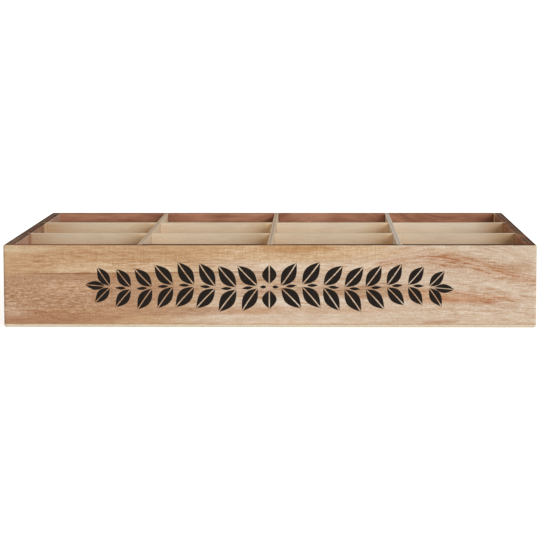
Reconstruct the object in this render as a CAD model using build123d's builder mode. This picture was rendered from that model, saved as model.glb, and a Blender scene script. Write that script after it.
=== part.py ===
from build123d import *
import os

# A seed organiser box: a shallow wooden tray, open at the top, with a grid of five thin
# plywood dividers that makes twelve compartments for packets. The four boards of the frame
# meet in nailed rabbets, the base is a plywood sheet stapled on from below, and the grid
# stands loose in upright grooves, so that it lifts out.
#
# Millimetres. X runs left to right, Y front to back and Z up. The origin is the middle of
# the underside, on the surface that the box stands on.

os.makedirs("parts", exist_ok=True)

# ---------------------------------------------------------------- driving dimensions
# Outside of the box
width = 450.0
depth = 340.0
height = 70.0

# Boards and sheets
wall = 9.0
base_thickness = 3.0
divider_thickness = 4.0

# Grid: distance between neighbouring dividers, and how far it stands below the rim
cross_pitch = 110.0
long_pitch = 113.0
grid_drop = 0.2

# Grooves for the grid, and the play that lets it slide
groove_depth = 4.0
groove_side_play = 0.6
groove_end_play = 0.5
slot_side_play = 0.12
slot_end_play = 0.25

# Corner joints: the lip of the front and back boards that covers the side boards' ends
lip = 4.0

# Edges eased by sanding
corner_radius = 2.5
rim_outer_radius = 1.2
rim_inner_radius = 0.6
base_edge_radius = 2.2
seam_chamfer = 0.3
divider_easing = 0.3

# Brads, driven through the side boards into the ends of the front and back boards
brad_length = 25.0
brad_width = 1.25
brad_thickness = 1.0
brad_head_width = 2.2
brad_head_thickness = 0.7
brad_point = 2.0
brad_set = 0.8
brads_per_corner = 3
brad_pitch = 21.0

# Staples, driven up through the base into the boards' lower edges
staple_crown = 5.8
staple_leg = 14.0
staple_wire_width = 1.2
staple_wire_thickness = 0.9
staple_point = 1.5
staple_set = 0.4
long_side_staples = 4
short_side_staples = 3
staple_pitch = 110.0

# ---------------------------------------------------------------- derived dimensions
board_height = height - base_thickness
inner_width = width - 2 * wall
inner_depth = depth - 2 * wall
side_board_length = depth - 2 * lip
board_middle_z = base_thickness + board_height / 2

groove_width = divider_thickness + 2 * groove_side_play
slot_width = divider_thickness + 2 * slot_side_play
divider_height = board_height - grid_drop
long_divider_length = inner_width + 2 * (groove_depth - groove_end_play)
cross_divider_length = inner_depth + 2 * (groove_depth - groove_end_play)
slot_depth = divider_height / 2 + slot_end_play

cross_positions = {"left": -cross_pitch, "centre": 0.0, "right": cross_pitch}
long_positions = {"front": -long_pitch / 2, "back": long_pitch / 2}

brad_y = depth / 2 - (lip + wall) / 2
staple_y = depth / 2 - wall / 2
staple_x = width / 2 - wall / 2

base_plane = Plane.XY.offset(base_thickness)
end_boards = {"front": -1, "back": 1}
side_boards = {"left": -1, "right": 1}


def evenly(count, pitch):
    """Positions of count things, a pitch apart, about zero."""
    return [(i - (count - 1) / 2) * pitch for i in range(count)]


def save(piece, name):
    """Labels a finished piece and writes it as its own STEP file."""
    piece.part.label = name
    export_step(piece.part, f"parts/{name}.step")


# ---------------------------------------------------------------- corner brads
# A brad from the side: T-shaped head at x = 0, shank along +x, chisel point.
half_head = brad_head_width / 2
half_shank = brad_width / 2
brad_upper = [
    (0, half_head),
    (brad_head_thickness, half_head),
    (brad_head_thickness, half_shank),
    (brad_length - brad_point, half_shank),
    (brad_length, 0),
]
brad_lower = [(x, -y) for x, y in reversed(brad_upper[:-1])]
with BuildSketch() as brad_outline:
    with BuildLine():
        Polyline(*brad_upper, *brad_lower, close=True)
    make_face()

brad_heights = [board_middle_z + z for z in evenly(brads_per_corner, brad_pitch)]
corner_brads = {}
for end_name, end in end_boards.items():
    for side_name, side in side_boards.items():
        head_x = side * (width / 2 - brad_set)
        with BuildPart() as brads:
            for z in brad_heights:
                start = (head_x, end * brad_y, z)
                with BuildSketch(Plane(origin=start, x_dir=(-side, 0, 0), z_dir=(0, side, 0))):
                    add(brad_outline.sketch)
            extrude(amount=brad_thickness / 2, both=True)
        save(brads, f"{end_name}_{side_name}_brads")
        corner_brads[end_name, side_name] = brads.part

# ---------------------------------------------------------------- base staples
# A staple from the front: crown along x at y = 0, two legs up, their points slanted inwards.
half_crown = staple_crown / 2
leg_inside = half_crown - staple_wire_width
staple_right = [
    (half_crown, 0),
    (half_crown, staple_leg - staple_point),
    (leg_inside, staple_leg),
    (leg_inside, staple_wire_width),
]
staple_left = [(-x, y) for x, y in reversed(staple_right)]
with BuildSketch() as staple_outline:
    with BuildLine():
        Polyline(*staple_right, *staple_left, close=True)
    make_face()

# Each staple's place, and the direction of its crown, which lies along the board.
staple_places = {}
for name, end in end_boards.items():
    row = evenly(long_side_staples, staple_pitch)
    staple_places[name] = [((x, end * staple_y), (1, 0, 0)) for x in row]
for name, side in side_boards.items():
    row = evenly(short_side_staples, staple_pitch)
    staple_places[name] = [((side * staple_x, y), (0, 1, 0)) for y in row]

base_staples = {}
for edge, places in staple_places.items():
    with BuildPart() as staples:
        for (x, y), along in places:
            upright = Vector(along).cross(Vector(0, 0, 1))
            with BuildSketch(Plane(origin=(x, y, staple_set), x_dir=along, z_dir=upright)):
                add(staple_outline.sketch)
        extrude(amount=staple_wire_thickness / 2, both=True)
    save(staples, f"base_staples_{edge}")
    base_staples[edge] = staples.part

# ---------------------------------------------------------------- frame boards
# The four boards as one ring. It is sanded after it is nailed, so the eased edges run across
# the joints, and the ring is parted into its boards afterwards.
with BuildPart() as frame:
    with BuildSketch(base_plane):
        Rectangle(width, depth)
        Rectangle(inner_width, inner_depth, mode=Mode.SUBTRACT)
    extrude(amount=board_height)
    uprights = frame.edges().filter_by(Axis.Z).sort_by(lambda edge: edge.center().length)
    fillet(uprights[-4:], corner_radius)
    rim = frame.faces().sort_by(Axis.Z)[-1]
    fillet(rim.outer_wire().edges(), rim_outer_radius)
    rim = frame.faces().sort_by(Axis.Z)[-1]
    fillet(rim.inner_wires()[0].edges(), rim_inner_radius)
    foot = frame.faces().sort_by(Axis.Z)[0]
    chamfer(foot.outer_wire().edges(), seam_chamfer)

# The front and back boards run the full width. At each end only their lip passes the side
# board. The grooves for the cross dividers are open at the rim.
for name, end in end_boards.items():
    groove_y = end * (inner_depth + groove_depth) / 2
    with BuildPart() as end_board:
        add(frame.part)
        with BuildSketch(base_plane):
            with Locations((0, end * (depth - lip) / 2)):
                Rectangle(width, lip)
            with Locations((0, end * (depth - wall) / 2)):
                Rectangle(inner_width, wall)
        extrude(amount=board_height, mode=Mode.INTERSECT)
        with BuildSketch(base_plane):
            with Locations(*[(x, groove_y) for x in cross_positions.values()]):
                Rectangle(groove_width, groove_depth)
        extrude(amount=board_height, mode=Mode.SUBTRACT)
        for side_name in side_boards:
            add(corner_brads[name, side_name], mode=Mode.SUBTRACT)
        add(base_staples[name], mode=Mode.SUBTRACT)
    save(end_board, f"{name}_panel")

# The side boards stand between the lips. A brad's head is set below the surface, so each
# leaves a small pit in the outer face.
for name, side in side_boards.items():
    groove_x = side * (inner_width + groove_depth) / 2
    outer_face = Plane(origin=(side * width / 2, 0, 0), x_dir=(0, 1, 0), z_dir=(side, 0, 0))
    with BuildPart() as side_board:
        add(frame.part)
        with BuildSketch(base_plane):
            with Locations((side * (width - wall) / 2, 0)):
                Rectangle(wall, side_board_length)
        extrude(amount=board_height, mode=Mode.INTERSECT)
        with BuildSketch(base_plane):
            with Locations(*[(groove_x, y) for y in long_positions.values()]):
                Rectangle(groove_depth, groove_width)
        extrude(amount=board_height, mode=Mode.SUBTRACT)
        for end_name in end_boards:
            add(corner_brads[end_name, name], mode=Mode.SUBTRACT)
        with BuildSketch(outer_face):
            with Locations(*[(end * brad_y, side * z) for end in (-1, 1) for z in brad_heights]):
                Rectangle(brad_thickness, brad_head_width)
        extrude(amount=-brad_set, mode=Mode.SUBTRACT)
        add(base_staples[name], mode=Mode.SUBTRACT)
    save(side_board, f"{name}_side_panel")

# ---------------------------------------------------------------- base
with BuildPart() as base_panel:
    with BuildSketch():
        RectangleRounded(width, depth, corner_radius)
    extrude(amount=base_thickness)
    fillet(base_panel.faces().sort_by(Axis.Z)[0].edges(), base_edge_radius)
    for edge, places in staple_places.items():
        add(base_staples[edge], mode=Mode.SUBTRACT)
        for (x, y), along in places:
            with BuildSketch(Plane(origin=(x, y, 0), x_dir=along, z_dir=(0, 0, 1))):
                Rectangle(staple_crown, staple_wire_thickness)
            extrude(amount=staple_set, mode=Mode.SUBTRACT)
save(base_panel, "base_panel")

# ---------------------------------------------------------------- divider grid
# The long dividers run left to right. Their slots open upwards and take the cross dividers.
for name, y in long_positions.items():
    with BuildPart() as long_divider:
        with BuildSketch(base_plane):
            with Locations((0, y)):
                Rectangle(long_divider_length, divider_thickness)
        extrude(amount=divider_height)
        chamfer(long_divider.faces().sort_by(Axis.Z)[-1].edges(), divider_easing)
        with BuildSketch(Plane.XY.offset(base_thickness + divider_height - slot_depth)):
            with Locations(*[(x, y) for x in cross_positions.values()]):
                Rectangle(slot_width, divider_thickness)
        extrude(amount=slot_depth, mode=Mode.SUBTRACT)
    save(long_divider, f"long_divider_{name}")

# The cross dividers run front to back. Their slots open downwards, so their top edges pass
# unbroken over the long dividers.
for name, x in cross_positions.items():
    with BuildPart() as cross_divider:
        with BuildSketch(base_plane):
            with Locations((x, 0)):
                Rectangle(divider_thickness, cross_divider_length)
        extrude(amount=divider_height)
        chamfer(cross_divider.faces().sort_by(Axis.Z)[-1].edges(), divider_easing)
        with BuildSketch(base_plane):
            with Locations(*[(x, y) for y in long_positions.values()]):
                Rectangle(divider_thickness, slot_width)
        extrude(amount=slot_depth, mode=Mode.SUBTRACT)
    save(cross_divider, f"cross_divider_{name}")

outer_columns = inner_width / 2 - cross_pitch - divider_thickness / 2
outer_rows = (inner_depth - long_pitch - divider_thickness) / 2
print(f"compartments, width: {outer_columns:.1f} mm at the sides, "
      f"{cross_pitch - divider_thickness:.1f} mm in the middle")
print(f"compartments, depth: {outer_rows:.1f} mm at the front and back, "
      f"{long_pitch - divider_thickness:.1f} mm in the middle")
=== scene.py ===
# %% [markdown]
# # A seed box of scorched fir
# The box is a shallow tray, 450 mm wide, that keeps seed packets in twelve compartments. Its four
# boards are sawn softwood that was passed under a flame and sanded, its base and dividers are thin
# plywood, and brads and staples hold it together. The shapes of the boards, base and dividers come
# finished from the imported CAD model, so this lesson is mostly about wood: how its colour, growth
# rings, fibres and scorching are built from nodes, in millimetres, so that they stay the right size.

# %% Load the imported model
import math

import bpy
from mathutils import Matrix, Vector


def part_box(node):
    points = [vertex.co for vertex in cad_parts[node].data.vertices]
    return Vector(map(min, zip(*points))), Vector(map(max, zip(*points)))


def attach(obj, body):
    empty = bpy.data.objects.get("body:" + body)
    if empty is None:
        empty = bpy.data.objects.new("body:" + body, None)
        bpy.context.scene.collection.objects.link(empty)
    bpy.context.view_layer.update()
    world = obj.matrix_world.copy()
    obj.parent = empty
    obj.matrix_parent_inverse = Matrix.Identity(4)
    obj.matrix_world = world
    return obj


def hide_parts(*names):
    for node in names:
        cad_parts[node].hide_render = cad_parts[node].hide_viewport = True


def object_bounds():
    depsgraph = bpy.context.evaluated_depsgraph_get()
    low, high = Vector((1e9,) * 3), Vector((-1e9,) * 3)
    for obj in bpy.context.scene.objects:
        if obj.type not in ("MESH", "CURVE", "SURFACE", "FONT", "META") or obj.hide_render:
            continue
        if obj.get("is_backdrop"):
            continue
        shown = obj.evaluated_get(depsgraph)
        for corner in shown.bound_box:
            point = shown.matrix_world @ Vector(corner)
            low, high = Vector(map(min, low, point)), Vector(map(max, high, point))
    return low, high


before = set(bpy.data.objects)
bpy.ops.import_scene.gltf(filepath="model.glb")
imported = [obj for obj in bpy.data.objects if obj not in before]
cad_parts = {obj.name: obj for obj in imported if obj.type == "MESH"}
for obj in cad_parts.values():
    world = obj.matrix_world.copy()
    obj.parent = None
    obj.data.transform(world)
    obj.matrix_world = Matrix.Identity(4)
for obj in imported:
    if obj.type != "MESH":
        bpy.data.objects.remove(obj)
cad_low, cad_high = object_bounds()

MM = 0.001
size = [(high - low) / MM for low, high in zip(cad_low, cad_high)]
print("The box measures", [round(length, 1) for length in size], "mm")

# %% [markdown]
# ## Three small tools
# Colours are easiest to choose as the hex values of a paint program, which are sRGB. A shader
# works in linear light, so one function turns them. A second function adds a node, gives it its
# settings, and fills its inputs: an input that is handed a socket is linked, any other is set.
# An input that takes several, such as Join Geometry's, is handed a list. A third starts an empty
# material. With these, a material or a geometry tree reads as a list of steps.

# %% Colours and nodes
# A Mix node has a set of sockets for each kind of value. These are the ones for colours.
FACTOR, UNDER, OVER, MIXED = 0, 6, 7, 2


def colour(hex_value):
    """A hex colour such as 'c8a27d' as linear red, green and blue, with an alpha of 1."""
    parts = [int(hex_value[i:i + 2], 16) / 255 for i in (0, 2, 4)]
    linear = [c / 12.92 if c <= 0.04045 else ((c + 0.055) / 1.055) ** 2.4 for c in parts]
    return (*linear, 1.0)


def put(tree, kind, inputs=None, out=0, **settings):
    """Adds a node, makes its settings, fills its inputs and gives back one of its outputs, or the
    node itself where it has none."""
    node = tree.nodes.new(kind)
    for name, value in settings.items():
        setattr(node, name, value)
    for place, value in (inputs or {}).items():
        sockets = value if isinstance(value, list) else [value]
        if isinstance(sockets[0], bpy.types.NodeSocket):
            for socket in sockets:
                tree.links.new(socket, node.inputs[place])
        else:
            node.inputs[place].default_value = value
    return node.outputs[out] if node.outputs else node


def start_material(name):
    """A new material, and its node tree with nothing in it yet."""
    material = bpy.data.materials.new(name)
    material.use_nodes = True
    material.node_tree.nodes.clear()
    return material, material.node_tree


print("Mid brown in linear light:", [round(c, 3) for c in colour("b98a62")])

# %% [markdown]
# ## The camera
# A long lens, far off and a little above the rim, shows the front board almost square-on and just
# the upper part of the inside. It stands slightly right of the middle and is turned back to the
# left, which is why the left wall's inside shows more than the right one's.

# %% Camera
camera_place = (0.0395, -1.9468, 0.2402)
turned_left = math.radians(1.254)
tipped_down = math.radians(6.143)
rolled = math.radians(-0.101)
sensor_width = 36.0
focal_length = 141.35

lens = bpy.data.cameras.new("camera")
lens.sensor_width = sensor_width
lens.lens = focal_length
lens.clip_end = 50.0
camera = bpy.data.objects.new("camera", lens)
camera.matrix_world = (
    Matrix.Translation(camera_place)
    @ Matrix.Rotation(turned_left, 4, "Z")
    @ Matrix.Rotation(math.pi / 2 - tipped_down, 4, "X")
    @ Matrix.Rotation(rolled, 4, "Z")
)
bpy.context.scene.collection.objects.link(camera)
bpy.context.scene.camera = camera
bpy.context.scene.view_settings.view_transform = "Standard"
print("Camera at", camera_place, "with a", focal_length, "mm lens")

# %% [markdown]
# ## The studio
# The box stands on a plain white sweep. One softbox to the right, in front and above gives the
# soft slanting shadows in the compartments, and an even white room fills the rest. The two are
# balanced so that a colour on the front board renders about as it is written.
#
# The room looks pure white to the camera and in reflections, but it lights the object less than
# that, and a little warmer, because its light has come off walls. The softbox is cooler by as much,
# so together they are white. Light Path tells the rays apart.
#
# The underside should be worth a look too. So the sweep is seen only from above, and to a ray that
# has just left the underside it glows, as a white room below would.

# %% World
room_light = 0.545
room_warmth = "fffbf5"
world = bpy.data.worlds.new("white room")
world.use_nodes = True
tree = world.node_tree
tree.nodes.clear()
rays = put(tree, "ShaderNodeLightPath", out="Is Camera Ray").node.outputs
seen = put(tree, "ShaderNodeMath", {0: rays["Is Camera Ray"], 1: rays["Is Glossy Ray"]},
           operation="MAXIMUM")
seen = put(tree, "ShaderNodeMath", {0: seen, 1: rays["Is Transmission Ray"]}, operation="MAXIMUM")
strength = put(tree, "ShaderNodeMapRange", {"Value": seen, "To Min": room_light, "To Max": 1.0})
room_colour = put(tree, "ShaderNodeMix", {
    FACTOR: seen, UNDER: colour(room_warmth), OVER: colour("ffffff")}, out=MIXED, data_type="RGBA")
room = put(tree, "ShaderNodeBackground", {"Color": room_colour, "Strength": strength})
put(tree, "ShaderNodeOutputWorld", {"Surface": room})
bpy.context.scene.world = world
print("The room lights the box at", room_light)

# %% Floor
floor_half = 12.0
floor_drop = 0.0002
floor_colour = "ececea"
floor_lift = 0.60
underside_reach = 0.0007
underside_light = 0.92

corners = [(-1, -1), (1, -1), (1, 1), (-1, 1)]
floor_mesh = bpy.data.meshes.new("floor")
floor_mesh.from_pydata([(x * floor_half, y * floor_half, -floor_drop) for x, y in corners], [],
                       [(0, 1, 2, 3)])
floor = bpy.data.objects.new("floor", floor_mesh)
bpy.context.scene.collection.objects.link(floor)
floor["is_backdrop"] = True

paper, tree = start_material("white paper sweep")
surface = put(tree, "ShaderNodeBsdfDiffuse", {"Color": colour(floor_colour)})
rays = put(tree, "ShaderNodeLightPath", out="Is Camera Ray").node.outputs
lift = put(tree, "ShaderNodeMath", {0: rays["Is Camera Ray"], 1: floor_lift}, operation="MULTIPLY")
glow = put(tree, "ShaderNodeEmission", {"Color": colour("ffffff"), "Strength": lift})
sheet = put(tree, "ShaderNodeAddShader", {0: surface, 1: glow})
just_left = put(tree, "ShaderNodeMath", {0: rays["Ray Length"], 1: underside_reach},
                operation="LESS_THAN")
glow = put(tree, "ShaderNodeEmission", {"Color": colour("ffffff"), "Strength": underside_light})
sheet = put(tree, "ShaderNodeMixShader", {0: just_left, 1: sheet, 2: glow})
from_below = put(tree, "ShaderNodeNewGeometry", out="Backfacing")
clear = put(tree, "ShaderNodeBsdfTransparent")
sheet = put(tree, "ShaderNodeMixShader", {0: from_below, 1: sheet, 2: clear})
put(tree, "ShaderNodeOutputMaterial", {"Surface": sheet})
paper.cycles.emission_sampling = "NONE"
floor_mesh.materials.append(paper)
print("Floor laid", floor_drop / MM, "mm under the box")

# %% Softbox
# A sun lamp with a wide angle is a softbox that is far off: its shadows have the same soft edges,
# and the sweep is lit evenly out to the horizon.
light_direction = Vector((0.55, -0.88, 0.32)).normalized()
softbox_angle = math.radians(30)
softbox_strength = 1.58
softbox_coolness = "f4f8ff"

softbox_data = bpy.data.lights.new("softbox", "SUN")
softbox_data.angle = softbox_angle
softbox_data.energy = softbox_strength
softbox_data.color = colour(softbox_coolness)[:3]
softbox = bpy.data.objects.new("softbox", softbox_data)
softbox.matrix_world = light_direction.to_track_quat("Z", "Y").to_matrix().to_4x4()
bpy.context.scene.collection.objects.link(softbox)
print("Softbox towards", [round(c, 2) for c in light_direction])

# %% [markdown]
# ## Wood, step 1: where a point is in its board
# Wood has a direction. Everything in it runs along the grain, so a pattern needs to know how far
# along the board a point is, how deep in it, and how high. Object coordinates are in metres from
# the middle of the box, so they are scaled to millimetres, turned to the board and shifted, and
# the result is the same three numbers in every board: x along the grain, y inwards from the outer
# face, z up from the surface that the box stands on.

# %% Board coordinates
def board_place(tree, turn, outer_face):
    """Object coordinates as board coordinates in millimetres."""
    place = put(tree, "ShaderNodeTexCoord", out="Object")
    return put(tree, "ShaderNodeMapping", {
        "Vector": place, "Location": (0, outer_face, 0), "Rotation": (0, 0, turn),
        "Scale": (1 / MM, 1 / MM, 1 / MM)})


# %% [markdown]
# ## Wood, step 2: lines that arch
# A board sawn off-centre cuts through the yearly cones of the trunk, and its rings show as arches,
# the cathedral figure. Stretching the heights more and more to both sides of a crown does the same
# to any pattern of level lines: they bow over the crown and fall away from it.

# %% Grain coordinates
SEED_STEP = 1000.0


def grain_place(tree, place, crown, bow, level_left, level_right, seed):
    """Board coordinates whose level lines arch over the crown, and run level again further from it
    than level_left and level_right millimetres. The seed moves all noise to other wood, a step
    further along for each."""
    soft = 25.0
    along, into, up = put(tree, "ShaderNodeSeparateXYZ", {0: place}).node.outputs
    away = put(tree, "ShaderNodeMath", {0: along, 1: crown}, operation="SUBTRACT")
    away = put(tree, "ShaderNodeMath", {0: away, 1: -level_left, 2: soft}, operation="SMOOTH_MAX")
    away = put(tree, "ShaderNodeMath", {0: away, 1: level_right, 2: soft}, operation="SMOOTH_MIN")
    arch = put(tree, "ShaderNodeMath", {0: away, 1: away}, operation="MULTIPLY")
    arch = put(tree, "ShaderNodeMath", {0: arch, 1: bow, 2: 1.0}, operation="MULTIPLY_ADD")
    risen = put(tree, "ShaderNodeMath", {0: up, 1: arch}, operation="MULTIPLY")
    moved = put(tree, "ShaderNodeMath", {0: along, 1: SEED_STEP * seed}, operation="ADD")
    return put(tree, "ShaderNodeCombineXYZ", {0: moved, 1: into, 2: risen})


# %% [markdown]
# ## Wood, step 3: the marks in it
# Four kinds of mark make up the figure. Streaks are noise drawn out along the grain. Growth rings
# are rings about the pith, the middle of the trunk, which lies outside the board. Each ring darkens
# slowly through the summer and ends sharply, so the wave has a saw profile. Where the saw grazes
# one ring, its end shows as a single dark line. Stains are soft spots where the wood is toned, by
# its heartwood or by the flame.

# %% Marks
def streaks(tree, place, spacing, detail=3.0, roughness=0.6):
    """Noise from 0 to 1 whose marks are about as long, deep and high as spacing, in mm."""
    drawn = put(tree, "ShaderNodeMapping", {
        "Vector": place, "Scale": [1.0 / length for length in spacing]})
    return put(tree, "ShaderNodeTexNoise", {
        "Vector": drawn, "Scale": 1.0, "Detail": detail, "Roughness": roughness})


def growth_rings(tree, place, pith_into, pith_up, spacing, waver):
    """Rises from 0 to 1 through each ring. The pith runs along the board at a depth and height."""
    centred = put(tree, "ShaderNodeMapping", {
        "Vector": place, "Location": (0, -pith_into, -pith_up), "Scale": (0.05, 1.0, 1.0)})
    return put(tree, "ShaderNodeTexWave", {
        "Vector": centred, "Scale": 2 * math.pi / 20 / spacing, "Distortion": waver,
        "Detail": 2.0, "Detail Scale": 0.6}, out="Fac",
        wave_type="RINGS", rings_direction="X", wave_profile="SAW")


def stain(tree, place, middle, half, edge):
    """1 about the middle (along, up), and 0 from where the half size ends. The larger the edge, the
    softer the way between."""
    any_depth = 1e-5
    centred = put(tree, "ShaderNodeMapping", {
        "Vector": place, "Location": (-middle[0] / half[0], 0, -middle[1] / half[1]),
        "Scale": (1.0 / half[0], any_depth, 1.0 / half[1])})
    spot = put(tree, "ShaderNodeTexGradient", {"Vector": centred}, gradient_type="SPHERICAL")
    return put(tree, "ShaderNodeMapRange", {"Value": spot, "From Max": edge},
               interpolation_type="SMOOTHSTEP")


def ring_line(tree, place, height, rise):
    """1 at the end of one ring that crosses the board at a height, sharp above, fading below. The
    line climbs by the rise for each millimetre along."""
    along, _, up = put(tree, "ShaderNodeSeparateXYZ", {0: place}).node.outputs
    line = put(tree, "ShaderNodeMath", {0: along, 1: rise, 2: height}, operation="MULTIPLY_ADD")
    below = put(tree, "ShaderNodeMath", {0: line, 1: up}, operation="SUBTRACT")
    sharp = put(tree, "ShaderNodeMapRange", {"Value": below, "From Max": 0.4})
    thin = put(tree, "ShaderNodeMapRange", {
        "Value": below, "From Min": 0.5, "From Max": 1.6, "To Min": 1.0, "To Max": 0.35})
    fade = put(tree, "ShaderNodeMapRange", {
        "Value": below, "From Min": 1.0, "From Max": 7.0, "To Min": 1.0, "To Max": 0.0},
        interpolation_type="SMOOTHSTEP")
    line = put(tree, "ShaderNodeMath", {0: sharp, 1: thin}, operation="MULTIPLY")
    return put(tree, "ShaderNodeMath", {0: line, 1: fade}, operation="MULTIPLY")


# %% [markdown]
# Most steps of a finish do one of three things with a colour: cover it with another where a mask
# says so, as stain does, tint it, as toasting does, or make it a little lighter and darker, as
# fibres do. Darker wood is also warmer, so its blue changes most and its red least. Each of these
# is short, and a material is a row of them.

# %% Ways to change a colour
def cover(tree, wood, tone, mask, strength=1.0):
    """The wood, covered with a tone where the mask is 1."""
    share = put(tree, "ShaderNodeMath", {0: mask, 1: strength}, operation="MULTIPLY")
    return put(tree, "ShaderNodeMix", {FACTOR: share, UNDER: wood, OVER: tone},
               out=MIXED, data_type="RGBA")


def tint(tree, wood, tone, mask, strength=1.0):
    """The wood seen through a tone, as through a glaze, where the mask is 1."""
    share = put(tree, "ShaderNodeMath", {0: mask, 1: strength}, operation="MULTIPLY")
    return put(tree, "ShaderNodeMix", {FACTOR: share, UNDER: wood, OVER: tone},
               out=MIXED, data_type="RGBA", blend_type="MULTIPLY")


WARMTH = (0.68, 1.0, 1.45)
UNCHANGED = (1.0, 1.0, 1.0)


def vary(tree, wood, noise, amount, mask=1.0, reach=0.2):
    """The wood, lighter and darker by a share, following noise, where the mask is 1. A shorter
    reach about the noise's middle gives marks with sharper edges."""
    swing = put(tree, "ShaderNodeMapRange", {
        "Value": noise, "From Min": 0.5 - reach, "From Max": 0.5 + reach,
        "To Min": -amount, "To Max": amount})
    swing = put(tree, "ShaderNodeMath", {0: swing, 1: mask}, operation="MULTIPLY")
    factor = put(tree, "ShaderNodeVectorMath", {0: swing, 1: WARMTH, 2: UNCHANGED},
                 operation="MULTIPLY_ADD")
    return put(tree, "ShaderNodeVectorMath", {0: wood, 1: factor}, operation="MULTIPLY")


def strongest(tree, masks):
    """The largest of some masks, each given with a strength."""
    scaled = [put(tree, "ShaderNodeMath", {0: mask, 1: strength}, operation="MULTIPLY")
              for strength, mask in masks]
    most = scaled[0]
    for mask in scaled[1:]:
        most = put(tree, "ShaderNodeMath", {0: most, 1: mask}, operation="MAXIMUM")
    return most


def marked(tree, place, spots, shift=0.0):
    """1 times its strength in the middle of each place listed, and 0 away from all of them."""
    return strongest(tree, [
        (strength, stain(tree, place, (middle[0] + shift, middle[1]), half, edge))
        for strength, middle, half, edge in spots])


# %% [markdown]
# ## Scorched fir
# The boards are softwood that was passed under a flame. The flame toasts the outer faces from
# cream to honey and brown, and it chars the thin edge of the rim to a grey brown. The insides are
# wiped with a reddish brown stain. Sanding takes the char off the rounded edges again. A thin coat
# of wax leaves the surface nearly matt: a roughness of about 0.6 and little specular light.
#
# One long function could make all that, but short ones are easier to follow and to change. Each
# takes the colour so far and gives back the next. Every board gets the same steps, with its own
# figure: a crown, a seed, and lists of the places where each mark is strong.
#
# The steps read the same coordinates, so those come first: the board's own, the grain's, and the
# grain's with a flatter arch, which short marks follow better. Noise pulls two more sets about
# along the grain, and a stain that is laid on those gets a ragged edge.

# %% Places in a board
PULL = 50.0
FLATTER = 0.4


def fir_places(tree, turn, outer_face, figure):
    """The coordinates that the steps share, with the depth and the height on their own."""
    crown, bow, seed = figure["crown"], figure["bow"], figure["seed"]
    level_left, level_right = figure["level left"], figure["level right"]
    place = board_place(tree, turn, outer_face)
    grain = grain_place(tree, place, crown, bow, level_left, level_right, seed)
    flatter = grain_place(tree, place, crown, FLATTER * bow, level_left, level_right, seed)
    into, up = put(tree, "ShaderNodeSeparateXYZ", {0: place}).node.outputs[1:]
    wander = streaks(tree, grain, (60, 20, 7))
    pull = put(tree, "ShaderNodeMapRange", {"Value": wander, "To Min": -PULL, "To Max": PULL})
    pull = put(tree, "ShaderNodeCombineXYZ", {0: pull})
    pulled = put(tree, "ShaderNodeVectorMath", {0: place, 1: pull}, operation="ADD")
    pulled_grain = put(tree, "ShaderNodeVectorMath", {0: grain, 1: pull}, operation="ADD")
    return {
        "place": place, "grain": grain, "flatter": flatter, "pulled": pulled,
        "pulled grain": pulled_grain, "into": into, "up": up, "shift": SEED_STEP * seed}


# %% [markdown]
# ### Stains and slow bands
# Fir isn't one colour. Its heartwood is browner than its sapwood, and the flame tones it in soft
# patches. Most lie level along the board and some follow the arches, where coarse noise breaks them
# up. Over them lie slow bands of tone, a few millimetres high and up to a hand's width long.

# %% Stained sapwood
SAPWOOD = colour("ddc7af")
SLOW_BANDS = [
    ((75, 20, 5.0), 0.075),
    ((22, 8, 2.6), 0.07),
]


def stained(tree, wood, at, figure):
    """The wood with the figure's stains, level and arched, and the slow bands."""
    for tone, strength, middle, half, edge in figure["stains"]:
        spot = stain(tree, at["pulled"], middle, half, edge)
        wood = cover(tree, wood, colour(tone), spot, strength)
    patches = streaks(tree, at["grain"], (34, 20, 5.0))
    patches = put(tree, "ShaderNodeMapRange", {
        "Value": patches, "From Min": 0.40, "From Max": 0.58, "To Min": 0.45, "To Max": 1.15})
    for tone, strength, middle, half, edge in figure["arched"]:
        moved = (middle[0] + at["shift"], middle[1])
        spot = stain(tree, at["pulled grain"], moved, half, edge)
        spot = put(tree, "ShaderNodeMath", {0: spot, 1: patches}, operation="MULTIPLY")
        wood = cover(tree, wood, colour(tone), spot, strength)
    for spacing, amount in SLOW_BANDS:
        wood = vary(tree, wood, streaks(tree, at["grain"], spacing, detail=2.0), amount)
    return wood


# %% [markdown]
# ### Toasted streaks
# The flame browns the softer early wood first, in fine marks that gather in clusters. Multiplying
# two noises does that: a coarse one says where a cluster is and a fine one draws its marks. They
# are strongest in the places that the figure lists, and faint everywhere else.

# %% Toasted streaks
TOASTED = colour("cf9c70")
TOAST_EVERYWHERE = 0.16


def toast(tree, wood, at, figure):
    """The wood with its toasted streaks, and the mask of where they are strong."""
    clusters = streaks(tree, at["grain"], (34, 14, 4.4))
    clusters = put(tree, "ShaderNodeMapRange", {
        "Value": clusters, "From Min": 0.40, "From Max": 0.62, "To Min": 0.15, "To Max": 1.0},
        interpolation_type="SMOOTHSTEP")
    marks = streaks(tree, at["flatter"], (15, 3, 1.2), detail=4.0, roughness=0.65)
    marks = put(tree, "ShaderNodeMapRange", {
        "Value": marks, "From Min": 0.42, "From Max": 0.60, "To Min": 0.06, "To Max": 1.0},
        interpolation_type="SMOOTHSTEP")
    toasted = put(tree, "ShaderNodeMath", {0: clusters, 1: marks}, operation="MULTIPLY")
    where = marked(tree, at["grain"], figure["streaked"], at["shift"])
    strength = put(tree, "ShaderNodeMath", {0: where, 1: TOAST_EVERYWHERE}, operation="ADD")
    return tint(tree, wood, TOASTED, toasted, strength), where


# %% [markdown]
# ### Growth rings
# The pith lies well outside these boards, so the rings cross them as wide, nearly level curves.
# They are faint, since late wood takes up only the end of each ring. Where the saw grazes one ring
# its end shows as a line, and the figure lists those.

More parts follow.
